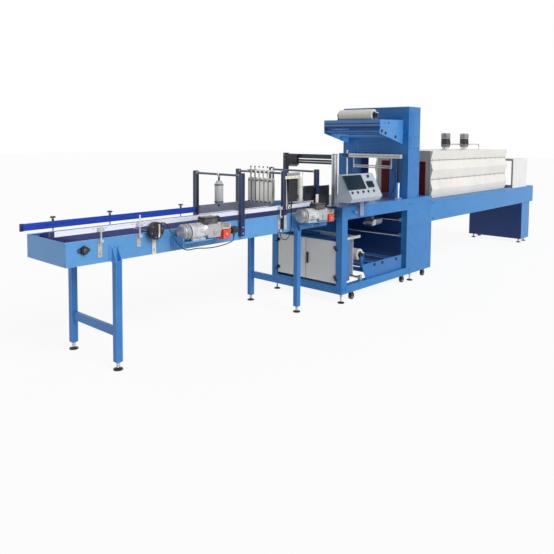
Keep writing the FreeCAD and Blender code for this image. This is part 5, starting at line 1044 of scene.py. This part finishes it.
mouldings("console_bezels", (bezel(14, 164, 2716, 3024) + bezel(90, 154, 3066, 3180)).on(*slope))
screen = Finish("console_screen")
sheen = screen.noise(3.0, 2.0)
screen = screen.wear(Base_Color=screen.blend(sheen, (2, 20, 36), (6, 40, 56)),
                     Roughness=0.42 + 0.04 * sheen, Specular_IOR_Level=0.08)
panes = block((15, 2718, -1), (163, 3022, 2.2), 0.6, 6) + block((91, 3068, -1), (153, 3178, 2.2), 0.6, 6)
put("console_screens", panes.on(*slope), screen)
button = turned([(-1, 15.5), (2, 15.5), (3.5, 14), (3.5, 11.5), (2.5, 11.3), (8, 11), (10, 9.5), (10.8, 6),
                 (11, 2)])
dial = turned([(-1, 17), (2, 17), (3, 15), (10, 14), (15, 13), (17, 10)], (34, 3136, 0), up, 48, 12, 0.04)
mouldings("console_buttons", (button.at(grid(196, (2764, 2855, 2950), 0)) + dial).on(*slope))
put("console_amber_buttons", button.at(grid(196, (3040, 3139), 0)).on(*slope),
    moulded("amber_cap", (70, 62, 30), (110, 100, 60), 0.3))
edge_screws = screws(grid((12, 248), (2742, 2990, 3238), 0), up, 4)
hardware("console_screws", edge_screws.on(*slope) + screws(grid(2726, -540, (1080, 1290)), infeed, 4.5)
         + bolts(grid((3130, 3174), -487, (900, 940)), near, 5))

# Shrink tunnel's base: folded beams joined under the belt, with bolted joints, and the closed
# support cabinet under the outfeed end, whose inner face, toward the infeed, is painted navy as
# the tunnel's shadow.
base_paint = powder_coat("base_paint", (32, 126, 194), (92, 164, 218))
dress("tunnel_base", base_paint, 0.003)
# Navy painted on the face toward the infeed as the tunnel's shadow.
dress("end_support", powder_coat("support_paint", (32, 126, 194), (84, 152, 210),
                                 zone=lambda f: f.before("X", 7851), inner=(12, 50, 106)), 0.003)
joint_places = [*grid((4740, 4770), frame_side, (700, 890)), *grid((5400, 6200, 7000, 7900), frame_side, 900)]
put("base_bolts", both_sides(bolts, joint_places, 7)
    + screws(grid(7848, (-420, 420), (100, 350, 620)), infeed, 6), base_paint[0])

# Tunnel hood: an insulated steel shell in warm white under three bent covers a side, with grey
# seals in the seams and along the foot, and screws along each cover's edges.
hood_start, hood_end = 4815, 7200
# The shell's end faces are painted a darker grey as shade.
dress("tunnel_hood",
      sheet_paint("hood_shell", (236, 235, 228), (214, 212, 204), 0.15,
                  lambda f: f.before("X", hood_start + 7.5) | f.past("X", hood_end - 7.5),
                  (186, 180, 173), 0.4), 0.002)
dress("hood_covers", powder_coat("cover_paint", (236, 232, 224), (246, 244, 238)), 0.002)
seams = sum(block((hood_start, y - 5, z - 6), (hood_end, y + 5, z + 6), 2, 4, "x")
            for y in (-394, 394) for z in (1170, 1412))
feet = sum(block((hood_start, y - 6, 928), (hood_end, y + 6, 940), 2, 4, "x") for y in (-396, 396))
end_seals = sum(block((x, side * 411 - 17, z - 5), (x + 6, side * 411 + 13, z + 5), 1.5, 3, "x")
                for x in (hood_start - 2, hood_end - 4) for side in (-1, 1) for z in (1049, 1291))
put("hood_seams", seams + feet + end_seals,
    moulded("seam_grey", (150, 148, 146), (186, 184, 180), 0.5))
along = np.linspace(4850, 7165, 14)
hardware("hood_screws", both_sides(screws, grid(along, 399, (1184, 1426)), 5)
         + both_sides(screws, grid(along, 400, (1155, 1397)), 5))

# Curtains: overlapping strips of thin maroon silicone rubber, hung in both mouths of the tunnel,
# each with a little swing and curl.
curtain = moulded("curtain_rubber", (92, 2, 8), (120, 20, 26), 0.5, 0.25, Specular_IOR_Level=0.25)
curtain_foot, curtain_top, strip_wide, strip_step = 932, 1394, 82, 80
strip_z, strip_y = np.meshgrid(np.linspace(curtain_foot, curtain_top, 40),
                               np.linspace(-strip_wide / 2, strip_wide / 2, 12), indexing="ij")
fall = (curtain_top - strip_z) / (curtain_top - curtain_foot)
strips = []
for mouth, x in enumerate((4818.2, 7196.8)):
    for k in range(8):
        swing = 1.1 * fall * np.sin(2.1 * k + mouth) + 0.9 * (k % 2) - 0.4
        curl = 0.9 * fall * np.cos(np.pi * strip_y / strip_wide + k)
        strips.append(np.stack([x + swing + curl, strip_y - 280 + strip_step * k, strip_z], axis=-1))
heat_curtains = sheets("heat_curtains", np.array(strips), 1.6, curtain, "tunnel_curtains")

# Fan motors: upright grey motors on pale flanges, with a dark ribbed barrel, a wire guard on the
# cowl and a screwed terminal box, joined by a pale conduit that bends into the hood.
for number, x in ((1, 5714), (2, 6296)):
    f = Finish("fan_motor_%d" % number)
    spots = f.noise(14.0, 5.0, 0.6).within(0.45, 0.75)
    pipe = f.past("X", x + 88.5)
    # The grey is paler in patches, as painted highlights, and the ribbed barrel is dark.
    dark = f.blend(f.span("Z", 1610, 1688), f.blend(spots * 0.7, (128, 130, 134), (176, 178, 180)),
                   (70, 72, 76))
    dress("fan_motor_%d" % number, f.wear(
        Base_Color=f.blend(f.before("Z", 1574) | pipe, dark, (208, 208, 206)), Metallic=0.45 + 0.2 * pipe,
        Roughness=0.3 + 0.14 * spots, Normal=f.bump(f.noise(300.0, 3.0), 0.15, 0.0005)), 0.001)
    fan_foot = (x, -140, 1530)
    hardware("fan_guard_%d" % number,
             sum(hoop((x, -140, 1764.4), up, radius, 1.3) for radius in (10, 18, 26, 34, 42))
             + band(fan_foot, up, 222, 228, 60, 3.4, 48) + band(fan_foot, up, 160, 167, 60, 3.4, 48)
             + bolts([(x + 62 * np.cos(a), -140 + 62 * np.sin(a), 1538) for a in (0.8, 2.4, 3.9, 5.5)], up, 5)
             + screws([(x + 86, -140 + dy, 1530 + dz) for dy in (-24, 24) for dz in (68, 122)], outfeed, 4))

# Outlet hood: a plain folded tunnel of warm white sheet with a rolled edge, whose end faces and
# inside are painted grey as shade.


def outlet_ends_and_inside_shade(f):
    """1 on both end faces and on the inside of the hood, where grey is painted as shade."""
    inside = (f.off_middle() < 0.4485) * f.before("Z", 1355.5)
    return f.before("X", 7331.5) | f.past("X", 7923.5) | inside


# Grey painted as shade on the end faces and inside.
dress("outlet_hood", sheet_paint("outlet_sheet", (226, 226, 224), (204, 204, 202), 0.2, outlet_ends_and_inside_shade,
                                 (158, 152, 150), 0.38), 0.003)
outlet_places = [*grid((7350, 7905), 475, (960, 1160, 1350)), (7628, 475, 960)]
hardware("outlet_screws", both_sides(screws, outlet_places, 5))
